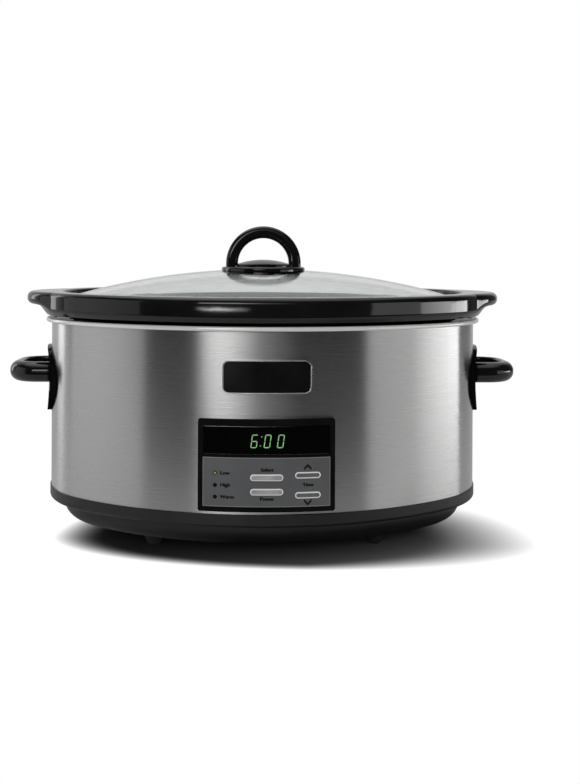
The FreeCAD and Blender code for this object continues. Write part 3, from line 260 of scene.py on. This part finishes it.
plasticCloud = 38
black, lessBlack = (0.0035, 0.0036, 0.0036), (0.007, 0.0071, 0.007)
glossBlack = {"dark": black, "light": lessBlack, "roughness": (0.04, 0.07), "grain": 300, "bump": 0.03,
              "depth": 0.1 * mm, "shine": 0.55}
plastics = {
    "gloss_black": glossBlack,
    "bezel_black": {**glossBlack, "roughness": (0.55, 0.65), "shine": 0.03},
    "badge_black": {"dark": black, "light": grey(0.008), "roughness": (0.12, 0.2), "grain": 500,
                    "bump": 0.04, "depth": 0.06 * mm, "shine": 0.2},
    "base_plastic": {"dark": (0.007, 0.0072, 0.0072), "light": (0.01, 0.0102, 0.01),
                     "roughness": (0.32, 0.42), "grain": 1500, "bump": 0.2, "depth": 0.08 * mm},
    "foot_rubber": {"dark": grey(0.009), "light": grey(0.016), "roughness": (0.6, 0.78), "grain": 900,
                    "bump": 0.3, "depth": 0.1 * mm},
    "component_black": {"dark": (0.008, 0.008, 0.009), "light": (0.016, 0.016, 0.017),
                        "roughness": (0.35, 0.5), "grain": 1300, "bump": 0.2, "depth": 0.06 * mm},
    "can_sleeve": {"dark": (0.012, 0.02, 0.06), "light": (0.02, 0.03, 0.085), "roughness": (0.3, 0.4),
                   "grain": 700, "bump": 0.1, "depth": 0.05 * mm},
    "heater_mica": {"dark": (0.3, 0.25, 0.18), "light": (0.46, 0.4, 0.3), "roughness": (0.45, 0.6),
                    "grain": 260, "bump": 0.4, "depth": 0.2 * mm},
    "fuse_body": {"dark": (0.5, 0.48, 0.42), "light": (0.62, 0.6, 0.54), "roughness": (0.3, 0.4),
                  "grain": 900, "bump": 0.15, "depth": 0.05 * mm},
    "seal_silicone": {"dark": (0.3, 0.3, 0.29), "light": (0.42, 0.42, 0.41), "roughness": (0.5, 0.62),
                      "grain": 900, "bump": 0.15, "depth": 0.05 * mm},
    "label_ink": {"dark": grey(0.003), "light": grey(0.005), "roughness": (0.45, 0.55), "grain": 1500,
                  "bump": 0.1, "depth": 0.02 * mm, "shine": 0.2},
}


def mouldedPlastic(name, dark, light, roughness, grain, bump, depth, shine=0.5):
    finish, tree, shader = newFinish(name)
    cloud = objectNoise(tree, plasticCloud, detail=4)
    coated(tree, shader, cloud, tinted(tree, cloud, dark, light), roughness)
    bumped(tree, shader, objectNoise(tree, grain, detail=3), bump, depth)
    setSockets(shader, Specular_IOR_Level=shine)
    return finish


handle = {"shine": (0.0, 0.55), "outFrom": (0.1835, 0.1855), "upFrom": (0.1175, 0.1195),
          "topFrom": (0.1485, 0.1505)}


def handleBlack():
    finish = mouldedPlastic("handle_black", **glossBlack)
    tree = finish.node_tree
    # the plates on the wrap are duller than the loops, apart from their top ends
    height = placeAlong(tree, "Z")
    outward = mapped(tree, offMiddle(tree, "X", 0), handle["outFrom"], handle["shine"])
    upward = mapped(tree, height, handle["upFrom"], handle["shine"])
    onTop = mapped(tree, height, handle["topFrom"], handle["shine"])
    gleam = computed(tree, "MAXIMUM", computed(tree, "MINIMUM", outward, upward), onTop)
    tree.links.new(gleam, tree.nodes["Principled BSDF"].inputs["Specular IOR Level"])
    return finish


# the edge colour is a painted highlight, a pale line along the fascia's borders
fascia = {"dark": (0.092, 0.094, 0.098), "light": (0.108, 0.11, 0.114), "edge": (0.3, 0.305, 0.31),
          "edgeSpan": (0.25 * mm, 0.6 * mm), "roughness": (0.4, 0.5), "grain": 2200, "bump": 0.2,
          "depth": 0.04 * mm}


def fasciaGrey():
    finish, tree, shader = newFinish("fascia_grey")
    cloud = objectNoise(tree, plasticCloud, detail=4)
    field = tinted(tree, cloud, fascia["dark"], fascia["light"])
    # painted highlight: the fascia's borders are lightened as if their edges caught the light
    borderHighlight = mottled(tree, cloud, fascia["edge"], share=0.9)
    edge = mapped(tree, edgeDepth(tree, "fascia"), fascia["edgeSpan"], (1, 0))
    coated(tree, shader, cloud, blended(tree, edge, field, borderHighlight), fascia["roughness"])
    bumped(tree, shader, objectNoise(tree, fascia["grain"], detail=3), fascia["bump"], fascia["depth"])
    return finish


# the pale border colour is a painted highlight, the darker hollow colour a painted shade
button = {"dark": (0.28, 0.28, 0.285), "light": (0.46, 0.46, 0.465), "edge": grey(0.95),
          "hollowShade": (0.15, 0.15, 0.153), "metal": 0.05, "roughness": (0.28, 0.36), "cloud": 90,
          "wide": 2.6 * mm, "narrow": 2.5 * mm, "hollowShadeSpan": (0.85 * mm, 1.05 * mm),
          "faceSpan": (0.7 * mm, 1.0 * mm), "bevel": 1.0 * mm, "fall": 0.15 * mm}


def buttonSilver():
    finish, tree, shader = newFinish("button_silver")
    cloud = objectNoise(tree, button["cloud"], detail=4)
    silver = tinted(tree, cloud, button["dark"], button["light"])
    paintedHighlight = mottled(tree, cloud, button["edge"], share=0.93)
    paintedHollowShade = mottled(tree, cloud, button["hollowShade"], share=0.85)
    narrow = [pillDepth(tree, name, button["narrow"]) for name in ("time_up_button", "time_down_button")]
    wide = [pillDepth(tree, name, button["wide"]) for name in ("select_button", "power_button")]
    # painted shade: the hollows of the two time buttons are darker than their raised borders, which carry
    # the painted highlight
    hollowShade = mapped(tree, computed(tree, "MAXIMUM", *narrow), button["hollowShadeSpan"], (0, 1))
    # the two wide ones have sloping borders with a painted highlight on them
    raised = computed(tree, "MAXIMUM", *wide)
    face = mapped(tree, raised, button["faceSpan"], (0, 1))
    colour = blended(tree, hollowShade, blended(tree, face, paintedHighlight, silver), paintedHollowShade)
    coated(tree, shader, cloud, colour, button["roughness"])
    bumped(tree, shader, mapped(tree, raised, (0, button["bevel"]), (0, 1), True), 1.0, button["fall"])
    setSockets(shader, Metallic=button["metal"])
    return finish


glaze = {"dark": (0.0035, 0.0037, 0.0036), "light": (0.0075, 0.0078, 0.0075), "roughness": (0.07, 0.7),
         "ior": 1.52, "foot": (0.03, 0.028, 0.026), "footSpan": (0.0515, 0.0555), "speck": 900,
         "waves": (26, 26, 34), "peel": 420, "peelShare": 0.04, "rimSpan": (0.189, 0.2), "bulge": 0.6,
         "bump": 0.25, "depth": 0.6 * mm}


def stonewareGlaze():
    finish, tree, shader = newFinish("stoneware")
    height = placeAlong(tree, "Z")
    waves = objectNoise(tree, glaze["waves"], detail=2)
    peel = objectNoise(tree, glaze["peel"], detail=2)
    body = tinted(tree, waves, glaze["dark"], glaze["light"])
    bare = mottled(tree, objectNoise(tree, glaze["speck"], detail=1), glaze["foot"], share=0.6)
    low = mapped(tree, height, glaze["footSpan"], (1, 0))
    tree.links.new(blended(tree, low, body, bare), shader.inputs["Base Color"])
    tree.links.new(mapped(tree, low, (0, 1), glaze["roughness"]), shader.inputs["Roughness"])
    surface = computed(tree, "MULTIPLY_ADD", peel, glaze["peelShare"], waves)
    # the rim's outside swells a little between its edges
    rim = mapped(tree, height, glaze["rimSpan"], (-1, 1))
    swell = computed(tree, "MULTIPLY", computed(tree, "MULTIPLY", rim, rim), -glaze["bulge"])
    bumped(tree, shader, computed(tree, "ADD", surface, swell), glaze["bump"], glaze["depth"])
    setSockets(shader, IOR=glaze["ior"])
    return finish


clear = {"tint": (0.905, 0.93, 0.92), "share": 0.99, "roughness": (0.0, 0.004), "cloud": 14, "ior": 1.5}
smoked = {"tint": (0.1, 0.105, 0.1), "share": 0.9, "roughness": (0.02, 0.06), "cloud": 50, "ior": 1.5}
lens = {"bevel": 0.8 * mm, "fall": 0.16 * mm}


def tintedGlass(name, look, detail):
    finish, tree, shader = newFinish(name)
    cloud = objectNoise(tree, look["cloud"], detail)
    coated(tree, shader, cloud, mottled(tree, cloud, look["tint"], look["share"]), look["roughness"])
    setSockets(shader, Transmission_Weight=1.0, IOR=look["ior"])
    return finish


def smokedLens():
    finish = tintedGlass("lens_black", smoked, 3)
    tree = finish.node_tree
    slope = mapped(tree, edgeDepth(tree, "display_lens"), (0, lens["bevel"]), (0, 1))
    bumped(tree, tree.nodes["Principled BSDF"], slope, 1.0, lens["fall"])
    return finish


metals = {
    "badge_rim": {"dark": grey(0.66), "light": grey(0.8), "roughness": (0.14, 0.22), "cloud": 90},
    "zinc_steel": {"dark": (0.48, 0.47, 0.44), "light": (0.66, 0.65, 0.61), "roughness": (0.26, 0.4),
                   "cloud": 90},
    "coil_core": {"dark": (0.2, 0.2, 0.21), "light": (0.34, 0.34, 0.36), "roughness": (0.4, 0.55),
                  "cloud": 260},
}
scratches = {"stretch": (60, 60, 2600), "bump": 0.05, "depth": 0.03 * mm}


def platedMetal(name, dark, light, roughness, cloud):
    finish, tree, shader = newFinish(name)
    patches = objectNoise(tree, cloud, detail=4)
    coated(tree, shader, patches, tinted(tree, patches, dark, light), roughness)
    lines = objectNoise(tree, scratches["stretch"], detail=2)
    bumped(tree, shader, lines, scratches["bump"], scratches["depth"])
    setSockets(shader, Metallic=1.0)
    return finish


lampSkin = {"cloud": 500, "roughness": (0.15, 0.25), "shine": 0.15, "litSpan": (0.15, 0.6)}
lampColours = {
    "lamp_green": {"dark": (0.012, 0.03, 0.006), "light": (0.02, 0.045, 0.01), "glow": (0.5, 0.62, 0.16),
                   "strength": 0.55, "node": "led_low"},
    "lamp_dark": {"dark": (0.002, 0.003, 0.002), "light": (0.004, 0.005, 0.004)},
    "digit_glow": {"dark": (0.02, 0.1, 0.02), "light": (0.03, 0.14, 0.03), "glow": (0.1, 0.5, 0.08),
                   "strength": 2.8},
    "digit_core": {"dark": (0.05, 0.14, 0.04), "light": (0.07, 0.18, 0.06), "glow": (0.55, 0.95, 0.48),
                   "strength": 8.0},
}


def lampFinish(name, dark, light, glow=None, strength=0.0, node=None):
    finish, tree, shader = newFinish(name)
    cloud = objectNoise(tree, lampSkin["cloud"], detail=2)
    coated(tree, shader, cloud, tinted(tree, cloud, dark, light), lampSkin["roughness"])
    setSockets(shader, Specular_IOR_Level=lampSkin["shine"])
    if glow:
        tree.links.new(mottled(tree, cloud, glow, share=0.8), shader.inputs["Emission Color"])
        setSockets(shader, Emission_Strength=strength)
    if node:
        # a small lit middle in a dark ring
        low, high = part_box(node)
        radius = (high.x - low.x) / 2
        middle = measuredFrom(tree, (low + high) / 2, (radius, 1, radius))
        far = vectorStep(tree, "LENGTH", middle)["Value"]
        lit = mapped(tree, far, lampSkin["litSpan"], (strength, 0), True)
        tree.links.new(lit, shader.inputs["Emission Strength"])
    return finish


board = {"mask": (0.006, 0.05, 0.018), "track": (0.016, 0.105, 0.04), "roughness": (0.3, 0.42), "cloud": 70,
         "offset": 0.37, "bump": 0.3, "depth": 0.05 * mm}
tracks = {"Scale": 130, "Mortar_Size": 0.09, "Brick_Width": 1.7, "Row_Height": 0.34}


def circuitBoard():
    finish, tree, shader = newFinish("circuit_board")
    bricks = tree.nodes.new("ShaderNodeTexBrick")
    bricks.offset = board["offset"]
    setSockets(bricks, **tracks)
    tree.links.new(objectPlace(tree), bricks.inputs["Vector"])
    pattern = bricks.outputs["Fac"]
    cloud = objectNoise(tree, board["cloud"], detail=3)
    mask = mottled(tree, cloud, board["mask"], share=0.8)
    copper = mottled(tree, cloud, board["track"], share=0.85)
    coated(tree, shader, cloud, blended(tree, pattern, mask, copper), board["roughness"])
    bumped(tree, shader, pattern, board["bump"], board["depth"])
    return finish


def makeFinishes():
    made = {
        "brushed_steel": brushedSteel(),
        "liner_metal": linerMetal(),
        "handle_black": handleBlack(),
        "fascia_grey": fasciaGrey(),
        "button_silver": buttonSilver(),
        "stoneware": stonewareGlaze(),
        "lid_glass": tintedGlass("lid_glass", clear, 2),
        "lens_black": smokedLens(),
        "circuit_board": circuitBoard(),
    }
    for maker, looks in ((mouldedPlastic, plastics), (platedMetal, metals), (lampFinish, lampColours)):
        made.update({name: maker(name, **look) for name, look in looks.items()})
    return made


# nodes whose finish differs from the others of their slot
ownFinish = {"bezel": "bezel_black", "left_handle": "handle_black", "right_handle": "handle_black"}


def dressNodes():
    for name, node in cadNodes.items():
        for holder in node.material_slots:
            slot = holder.material.name.split(".")[0]
            holder.material = finishes[ownFinish.get(name, slot)]


# display and printed marks

upright = Matrix.Rotation(math.radians(90), 4, "X")


def clearSelection():
    if bpy.context.object and bpy.context.object.mode != "OBJECT":
        bpy.ops.object.mode_set(mode="OBJECT")
    bpy.ops.object.select_all(action="DESELECT")


def joinPieces(pieces):
    clearSelection()
    for piece in pieces:
        piece.select_set(True)
    bpy.context.view_layer.objects.active = pieces[0]
    bpy.ops.object.join()
    return bpy.context.object


def finishPiece(piece, name, finish, body):
    piece.name = piece.data.name = name
    piece.data.materials.clear()
    piece.data.materials.append(finishes[finish])
    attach(piece, body)


digit = {"width": 5.5 * mm, "height": 10.9 * mm, "bar": 1.25 * mm, "gap": 0.25 * mm, "lean": 8.0,
         "pitch": 10.2 * mm, "middle": (0.75 * mm, 92.3 * mm), "thick": 0.15 * mm, "dot": 0.8 * mm,
         "dotRise": 3.5 * mm, "dotSides": 16}
shownDigits = "600"
litBars = {"6": "acdefg", "0": "abcdef"}
hexagonWidth = 1.73  # between a hexagon's flats, in radii
digitLayers = {"display_digits": {"share": 0.78, "proud": 0.02 * mm, "finish": "digit_glow"},
               "display_cores": {"share": 0.36, "proud": 0.2 * mm, "finish": "digit_core"}}


def addBar(centre, length, stroke, standing):
    # a bar with pointed ends, drawn out from a hexagon
    clearSelection()
    radius = stroke / hexagonWidth
    bpy.ops.mesh.primitive_circle_add(vertices=6, radius=radius, fill_type="NGON")
    bar = bpy.context.object
    for vertex in bar.data.vertices:
        if abs(vertex.co.y) > 0.001 * mm:
            vertex.co.y += math.copysign(length / 2 - radius, vertex.co.y)
    turn = Matrix.Identity(4) if standing else Matrix.Rotation(math.radians(90), 4, "Z")
    bar.data.transform(Matrix.Translation(centre) @ turn)
    return bar


def addDot(centre, radius):
    clearSelection()
    bpy.ops.mesh.primitive_circle_add(vertices=digit["dotSides"], radius=radius, fill_type="NGON")
    dot = bpy.context.object
    dot.data.transform(Matrix.Translation(centre))
    return dot


def makeDigits(name, share, proud, finish):
    # share is how much of the bars' width this layer takes up
    column = (digit["width"] - digit["bar"]) / 2
    row = (digit["height"] - digit["bar"]) / 2
    lying = digit["width"] - digit["bar"] - 2 * digit["gap"]
    standing = row - 2 * digit["gap"]
    bars = {"a": (0, row, False), "g": (0, 0, False), "d": (0, -row, False),
            "f": (-column, row / 2, True), "b": (column, row / 2, True),
            "e": (-column, -row / 2, True), "c": (column, -row / 2, True)}
    made = []
    for index, shown in enumerate(shownDigits):
        offset = (index - 1) * digit["pitch"]
        for letter in litBars[shown]:
            x, y, stands = bars[letter]
            length = standing if stands else lying
            made.append(addBar(Vector((offset + x, y, 0)), length, share * digit["bar"], stands))
    for y in (digit["dotRise"], -digit["dotRise"]):
        made.append(addDot(Vector((-digit["pitch"] / 2, y, 0)), share * digit["dot"]))
    digits = joinPieces(made)
    lean = Matrix.Identity(4)
    lean[0][1] = math.tan(math.radians(digit["lean"]))
    x, z = digit["middle"]
    place = Matrix.Translation((x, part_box("display_module")[0].y - proud, z))
    digits.data.transform(place @ upright @ lean)
    wall = digits.modifiers.new("thick", "SOLIDIFY")
    wall.thickness = digit["thick"]
    wall.offset = 1
    bpy.ops.object.modifier_apply(modifier=wall.name)
    finishPiece(digits, name, finish, "heating_base")


# the words are struck four times, a little apart, which thickens their strokes
printing = {"size": 3.7 * mm, "wide": 1.1, "bold": 0.02 * mm, "proud": 0.03 * mm, "from": 5 * mm,
            "strikes": ((-0.25 * mm, 0), (0, -0.12 * mm), (0, 0.12 * mm), (0.25 * mm, 0))}
labels = {"Select": (0.3 * mm, 71.3 * mm, "CENTER"), "Power": (0.3 * mm, 49.0 * mm, "CENTER"),
          "Time": (31.9 * mm, 59.6 * mm, "CENTER"), "Low": (-35.7 * mm, 68.6 * mm, "LEFT"),
          "High": (-35.7 * mm, 59.4 * mm, "LEFT"), "Warm": (-35.7 * mm, 50.3 * mm, "LEFT")}
chevron = {"half": 2.9 * mm, "rise": 1.5 * mm, "stroke": 2.1 * mm}
chevrons = {"up": (31.6 * mm, 73.2 * mm, 1), "down": (31.6 * mm, 46.2 * mm, -1)}


def printPlace(x, z):
    # in front of the fascia, from where a mark is laid on it
    return Matrix.Translation((x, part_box("fascia")[0].y - printing["from"], z)) @ upright


def printOnFascia(mark, name):
    wrap = mark.modifiers.new("wrap", "SHRINKWRAP")
    wrap.target = cadNodes["fascia"]
    wrap.wrap_method = "PROJECT"
    wrap.use_project_y = True
    wrap.use_positive_direction = True
    wrap.use_negative_direction = False
    wrap.offset = printing["proud"]
    bpy.ops.object.modifier_apply(modifier=wrap.name)
    finishPiece(mark, name, "label_ink", "heating_base")


def strikeWord(word, align):
    clearSelection()
    bpy.ops.object.text_add()
    text = bpy.context.object.data
    text.body = word
    text.size = printing["size"]
    text.offset = printing["bold"]
    text.align_x = align
    text.align_y = "CENTER"
    bpy.ops.object.convert(target="MESH")
    return bpy.context.object


def makeLabels():
    widen = Matrix.Diagonal((printing["wide"], 1, 1, 1))
    for word, (x, z, align) in labels.items():
        struck = []
        for right, up in printing["strikes"]:
            strike = strikeWord(word, align)
            strike.data.transform(printPlace(x + right, z + up) @ widen)
            struck.append(strike)
        printOnFascia(joinPieces(struck), "label_" + word.lower())


def makeChevrons():
    for name, (x, z, way) in chevrons.items():
        clearSelection()
        bpy.ops.mesh.primitive_plane_add(size=1)
        mark = bpy.context.object
        bpy.ops.object.mode_set(mode="EDIT")
        bpy.ops.mesh.select_all(action="SELECT")
        bpy.ops.mesh.subdivide(number_cuts=1)
        bpy.ops.object.mode_set(mode="OBJECT")
        for vertex in mark.data.vertices:
            across = 2 * vertex.co.x
            rise = (1 - 2 * abs(across)) * chevron["rise"] + vertex.co.y * chevron["stroke"]
            vertex.co = (across * chevron["half"], way * rise, 0)
        mark.data.transform(printPlace(x, z))
        printOnFascia(mark, "chevron_" + name)


# floor, backdrop light and camera

table = {"left": -1.6, "right": 1.6, "front": -0.3, "back": 2.4, "shade": grey(0.72), "cloud": 6,
         "roughness": 0.7, "shine": 0.2, "glow": 0.42, "behind": (0.1, 0.3)}
# the object's shadow is painted into the floor's colour inside an oval, and the light bounced from its left
# part is a painted pool of light
paintedShadow = {"middle": (0.024, -0.066, 0), "reach": (0.199, 0.0895, 1), "back": 0.185, "turn": -4.5,
          "from": (0.78, 0.42), "fromSpan": (0.03, 0.16), "power": 3,
          "seen": (0.03, 0.16), "seenSpan": (-0.1, 0.15),
          "bounced": (1.0, 0.08), "bouncedSpan": (-0.14, -0.02)}


def shadowDistance(tree):
    # distance from the painted shadow's middle, 1 at its outline, which reaches further towards the back
    split = tree.nodes.new("ShaderNodeSeparateXYZ")
    place = measuredFrom(tree, paintedShadow["middle"], paintedShadow["reach"], paintedShadow["turn"])
    tree.links.new(place, split.inputs["Vector"])
    along = split.outputs["Y"]
    toBack = computed(tree, "MULTIPLY", along, paintedShadow["reach"][1] / paintedShadow["back"])
    toFront = computed(tree, "MULTIPLY", along, -1)
    return hypotenuse(tree, split.outputs["X"], computed(tree, "MAXIMUM", toBack, toFront))


def floorFinish():
    finish, tree, shader = newFinish("studio_floor")
    setSockets(shader, Roughness=table["roughness"], Specular_IOR_Level=table["shine"])
    side = placeAlong(tree, "X")
    rays = tree.nodes.new("ShaderNodeLightPath").outputs
    outward = mapped(tree, shadowDistance(tree), (0, 1), (0, 1))
    tree.links.new(mapped(tree, side, paintedShadow["fromSpan"], paintedShadow["from"]), outward.node.inputs["From Min"])
    fade = computed(tree, "POWER", outward, paintedShadow["power"])
    pale = mottled(tree, objectNoise(tree, table["cloud"], detail=3), table["shade"], share=0.98)
    # painted shadow: inside the oval the floor is darkened, darkest on the left, where the camera sees it;
    # to other rays it is paler on the left, a painted pool of bounce light, and dark further right
    paintedShadeSeen = mapped(tree, side, paintedShadow["seenSpan"], paintedShadow["seen"])
    paintedBounceLightAndShade = mapped(tree, side, paintedShadow["bouncedSpan"], paintedShadow["bounced"])
    paintedShadowShade = blended(tree, rays["Is Camera Ray"], paintedBounceLightAndShade, paintedShadeSeen)
    tree.links.new(blended(tree, fade, paintedShadowShade, pale), shader.inputs["Base Color"])
    # white outside the painted shadow, for what the camera sees and for what shows behind the object
    direct = computed(tree, "MAXIMUM", rays["Is Camera Ray"], rays["Is Transmission Ray"])
    mirrored = computed(tree, "MAXIMUM", rays["Is Glossy Ray"], rays["Is Transmission Ray"])
    behind = mapped(tree, placeAlong(tree, "Y"), table["behind"], (0, 1), True)
    mirroredBehind = computed(tree, "MULTIPLY", mirrored, behind)
    shown = computed(tree, "MAXIMUM", rays["Is Camera Ray"], mirroredBehind)
    white = tree.nodes.new("ShaderNodeEmission")
    tree.links.new(mapped(tree, direct, (0, 1), (table["glow"], 1)), white.inputs["Strength"])
    mix = tree.nodes.new("ShaderNodeMixShader")
    tree.links.new(computed(tree, "MULTIPLY", fade, shown), mix.inputs["Fac"])
    tree.links.new(shader.outputs["BSDF"], mix.inputs[1])
    tree.links.new(white.outputs["Emission"], mix.inputs[2])
    tree.links.new(mix.outputs["Shader"], tree.nodes["Material Output"].inputs["Surface"])
    return finish


def makeFloor():
    clearSelection()
    bpy.ops.mesh.primitive_plane_add(size=1)
    floor = bpy.context.object
    floor.name = "studio_floor"
    for vertex in floor.data.vertices:
        vertex.co.x = table["right"] if vertex.co.x > 0 else table["left"]
        vertex.co.y = table["back"] if vertex.co.y > 0 else table["front"]
    floor.data.materials.append(floorFinish())


studio = {"ambient": 0.5, "room": 0.03, "backdrop": 0.6, "behind": (0.1, 0.6), "upper": 1.7,
          "upperSpan": (0.62, 0.78), "wall": 0.15, "wallSpan": (0.45, 0.7), "ceilingSpan": (0.7, 0.97)}


def makeWorld():
    world = bpy.data.worlds.new("studio")
    bpy.context.scene.world = world
    world.use_nodes = True
    tree = world.node_tree
    split = tree.nodes.new("ShaderNodeSeparateXYZ")
    tree.links.new(tree.nodes.new("ShaderNodeTexCoord").outputs["Generated"], split.inputs["Vector"])
    x, y, z = split.outputs
    # a pale backdrop behind, lighter higher up, a dim room in front, a shaded wall far round on the right
    backdrop = mapped(tree, y, studio["behind"], (studio["room"], studio["backdrop"]), True)
    upper = mapped(tree, z, studio["upperSpan"], (1, studio["upper"]), True)
    wall = mapped(tree, x, studio["wallSpan"], (1, studio["wall"]), True)
    ceiling = mapped(tree, z, studio["ceilingSpan"], (studio["room"], 1), True)
    walls = computed(tree, "MULTIPLY", computed(tree, "MULTIPLY", backdrop, upper), wall)
    mirrored = computed(tree, "MAXIMUM", walls, ceiling)
    # what is seen straight through the glass is as white as what the camera sees
    rays = tree.nodes.new("ShaderNodeLightPath").outputs
    bounces = computed(tree, "ADD", rays["Diffuse Depth"], rays["Glossy Depth"])
    straight = computed(tree, "LESS_THAN", bounces, 1)
    white = mapped(tree, y, studio["behind"], (studio["room"], 1), True)
    seenThrough = computed(tree, "MAXIMUM", white, straight)
    levels = {"Is Glossy Ray": mirrored, "Is Transmission Ray": seenThrough, "Is Camera Ray": 1}
    strength = studio["ambient"]
    for ray, level in levels.items():
        mix = tree.nodes.new("ShaderNodeMix")
        tree.links.new(rays[ray], mix.inputs["Factor"])
        setOrLink(tree, mix.inputs["A"], strength)
        setOrLink(tree, mix.inputs["B"], level)
        strength = mix.outputs["Result"]
    light = tree.nodes["Background"]
    tree.links.new(strength, light.inputs["Strength"])
    light.inputs["Color"].default_value = (1, 1, 1, 1)


# shares of a lamp's level, from end to end of its width
evenly = ((0, 1), (1, 1))
wingShares = ((0, 0.55), (1, 1))
stripShares = ((0, 0.7), (0.2, 0.85), (0.42, 0.82), (0.62, 0.26), (1, 0))
glintShares = ((0, 0.05), (0.3, 0.9), (0.5, 1), (0.75, 0.35), (1, 0))
leftShares = ((0, 0.8), (0.45, 1), (1, 0.6))
lampDistance = 2.0
lamps = [
    # name, azimuth from the front towards +X, height above the floor, size of its face, radiance, shares
    ("right_box", 58.8, 0.2, (0.87, 0.7), 0.95, evenly),
    ("right_wing", 79.5, 0.1, (0.6, 0.22), 5.0, wingShares),
    ("right_back", 98.3, 0.08, (0.72, 0.16), 7.0, evenly),
    ("front_strip", -6.5, 0.66, (1.58, 0.6), 4.1, stripShares),
    ("front_glint", -17.0, 0.09, (0.85, 0.055), 11.0, glintShares),
    ("left_box", -78.0, 0.4, (1.78, 1.6), 0.62, leftShares),
    ("left_back", -121.8, 0.4, (0.44, 1.6), 1.45, evenly),
]
overhead = {"place": (-0.35, 0.35, 1.7), "target": (0, 0, 0.1), "size": (1.4, 1.2), "radiance": 0.7}


def roundTheObject(azimuth, distance, height):
    turn = math.radians(azimuth)
    return Vector((distance * math.sin(turn), -distance * math.cos(turn), height))


def addLamp(name, place, target, size, radiance, shares):
    clearSelection()
    bpy.ops.object.light_add(type="AREA", location=place)
    lamp = bpy.context.object
    lamp.name = lamp.data.name = name
    lamp.rotation_euler = (target - place).to_track_quat("-Z", "Y").to_euler()
    lamp.visible_camera = False
    lamp.visible_transmission = False
    lamp.data.shape = "RECTANGLE"
    lamp.data.size, lamp.data.size_y = size
    lamp.data.energy = radiance * math.pi * size[0] * size[1]
    # the lamp's level along its width
    lamp.data.use_nodes = True
    tree = lamp.data.node_tree
    face = tree.nodes.new("ShaderNodeNewGeometry")
    split = tree.nodes.new("ShaderNodeSeparateXYZ")
    ramp = tree.nodes.new("ShaderNodeValToRGB")
    while len(ramp.color_ramp.elements) < len(shares):
        ramp.color_ramp.elements.new(0.5)
    for stop, (position, share) in zip(ramp.color_ramp.elements, shares):
        stop.position = position
        stop.color = (*grey(share), 1)
    tree.links.new(face.outputs["Parametric"], split.inputs["Vector"])
    tree.links.new(split.outputs["X"], ramp.inputs["Fac"])
    tree.links.new(ramp.outputs["Color"], tree.nodes["Emission"].inputs["Strength"])


def makeLamps():
    for name, azimuth, height, size, radiance, shares in lamps:
        place = roundTheObject(azimuth, lampDistance, height)
        addLamp(name, place, Vector((0, 0, height)), size, radiance, shares)
    place, target = Vector(overhead["place"]), Vector(overhead["target"])
    addLamp("overhead_box", place, target, overhead["size"], overhead["radiance"], evenly)


camera = {"distance": 0.999, "height": 0.242, "azimuth": -1.4, "roll": 0.25, "lens": 51.7,
          "shift": (0.034, -0.185)}


def makeCamera():
    clearSelection()
    place = roundTheObject(camera["azimuth"], camera["distance"], camera["height"])
    bpy.ops.object.camera_add(location=place)
    eye = bpy.context.object
    eye.name = "photo_camera"
    turn = Matrix.Rotation(math.radians(camera["azimuth"]), 4, "Z")
    roll = Matrix.Rotation(math.radians(camera["roll"]), 4, "Z")
    eye.rotation_euler = (turn @ upright @ roll).to_euler()
    eye.data.lens = camera["lens"]
    eye.data.shift_x, eye.data.shift_y = camera["shift"]
    bpy.context.scene.camera = eye


finishes = makeFinishes()
dressNodes()
print("finishes on", len(cadNodes), "nodes")

for name, layer in digitLayers.items():
    makeDigits(name, **layer)
makeLabels()
makeChevrons()
print("display and printing made")

makeFloor()
makeWorld()
makeLamps()
makeCamera()
bpy.context.scene.view_settings.view_transform = "Standard"
print("studio ready")
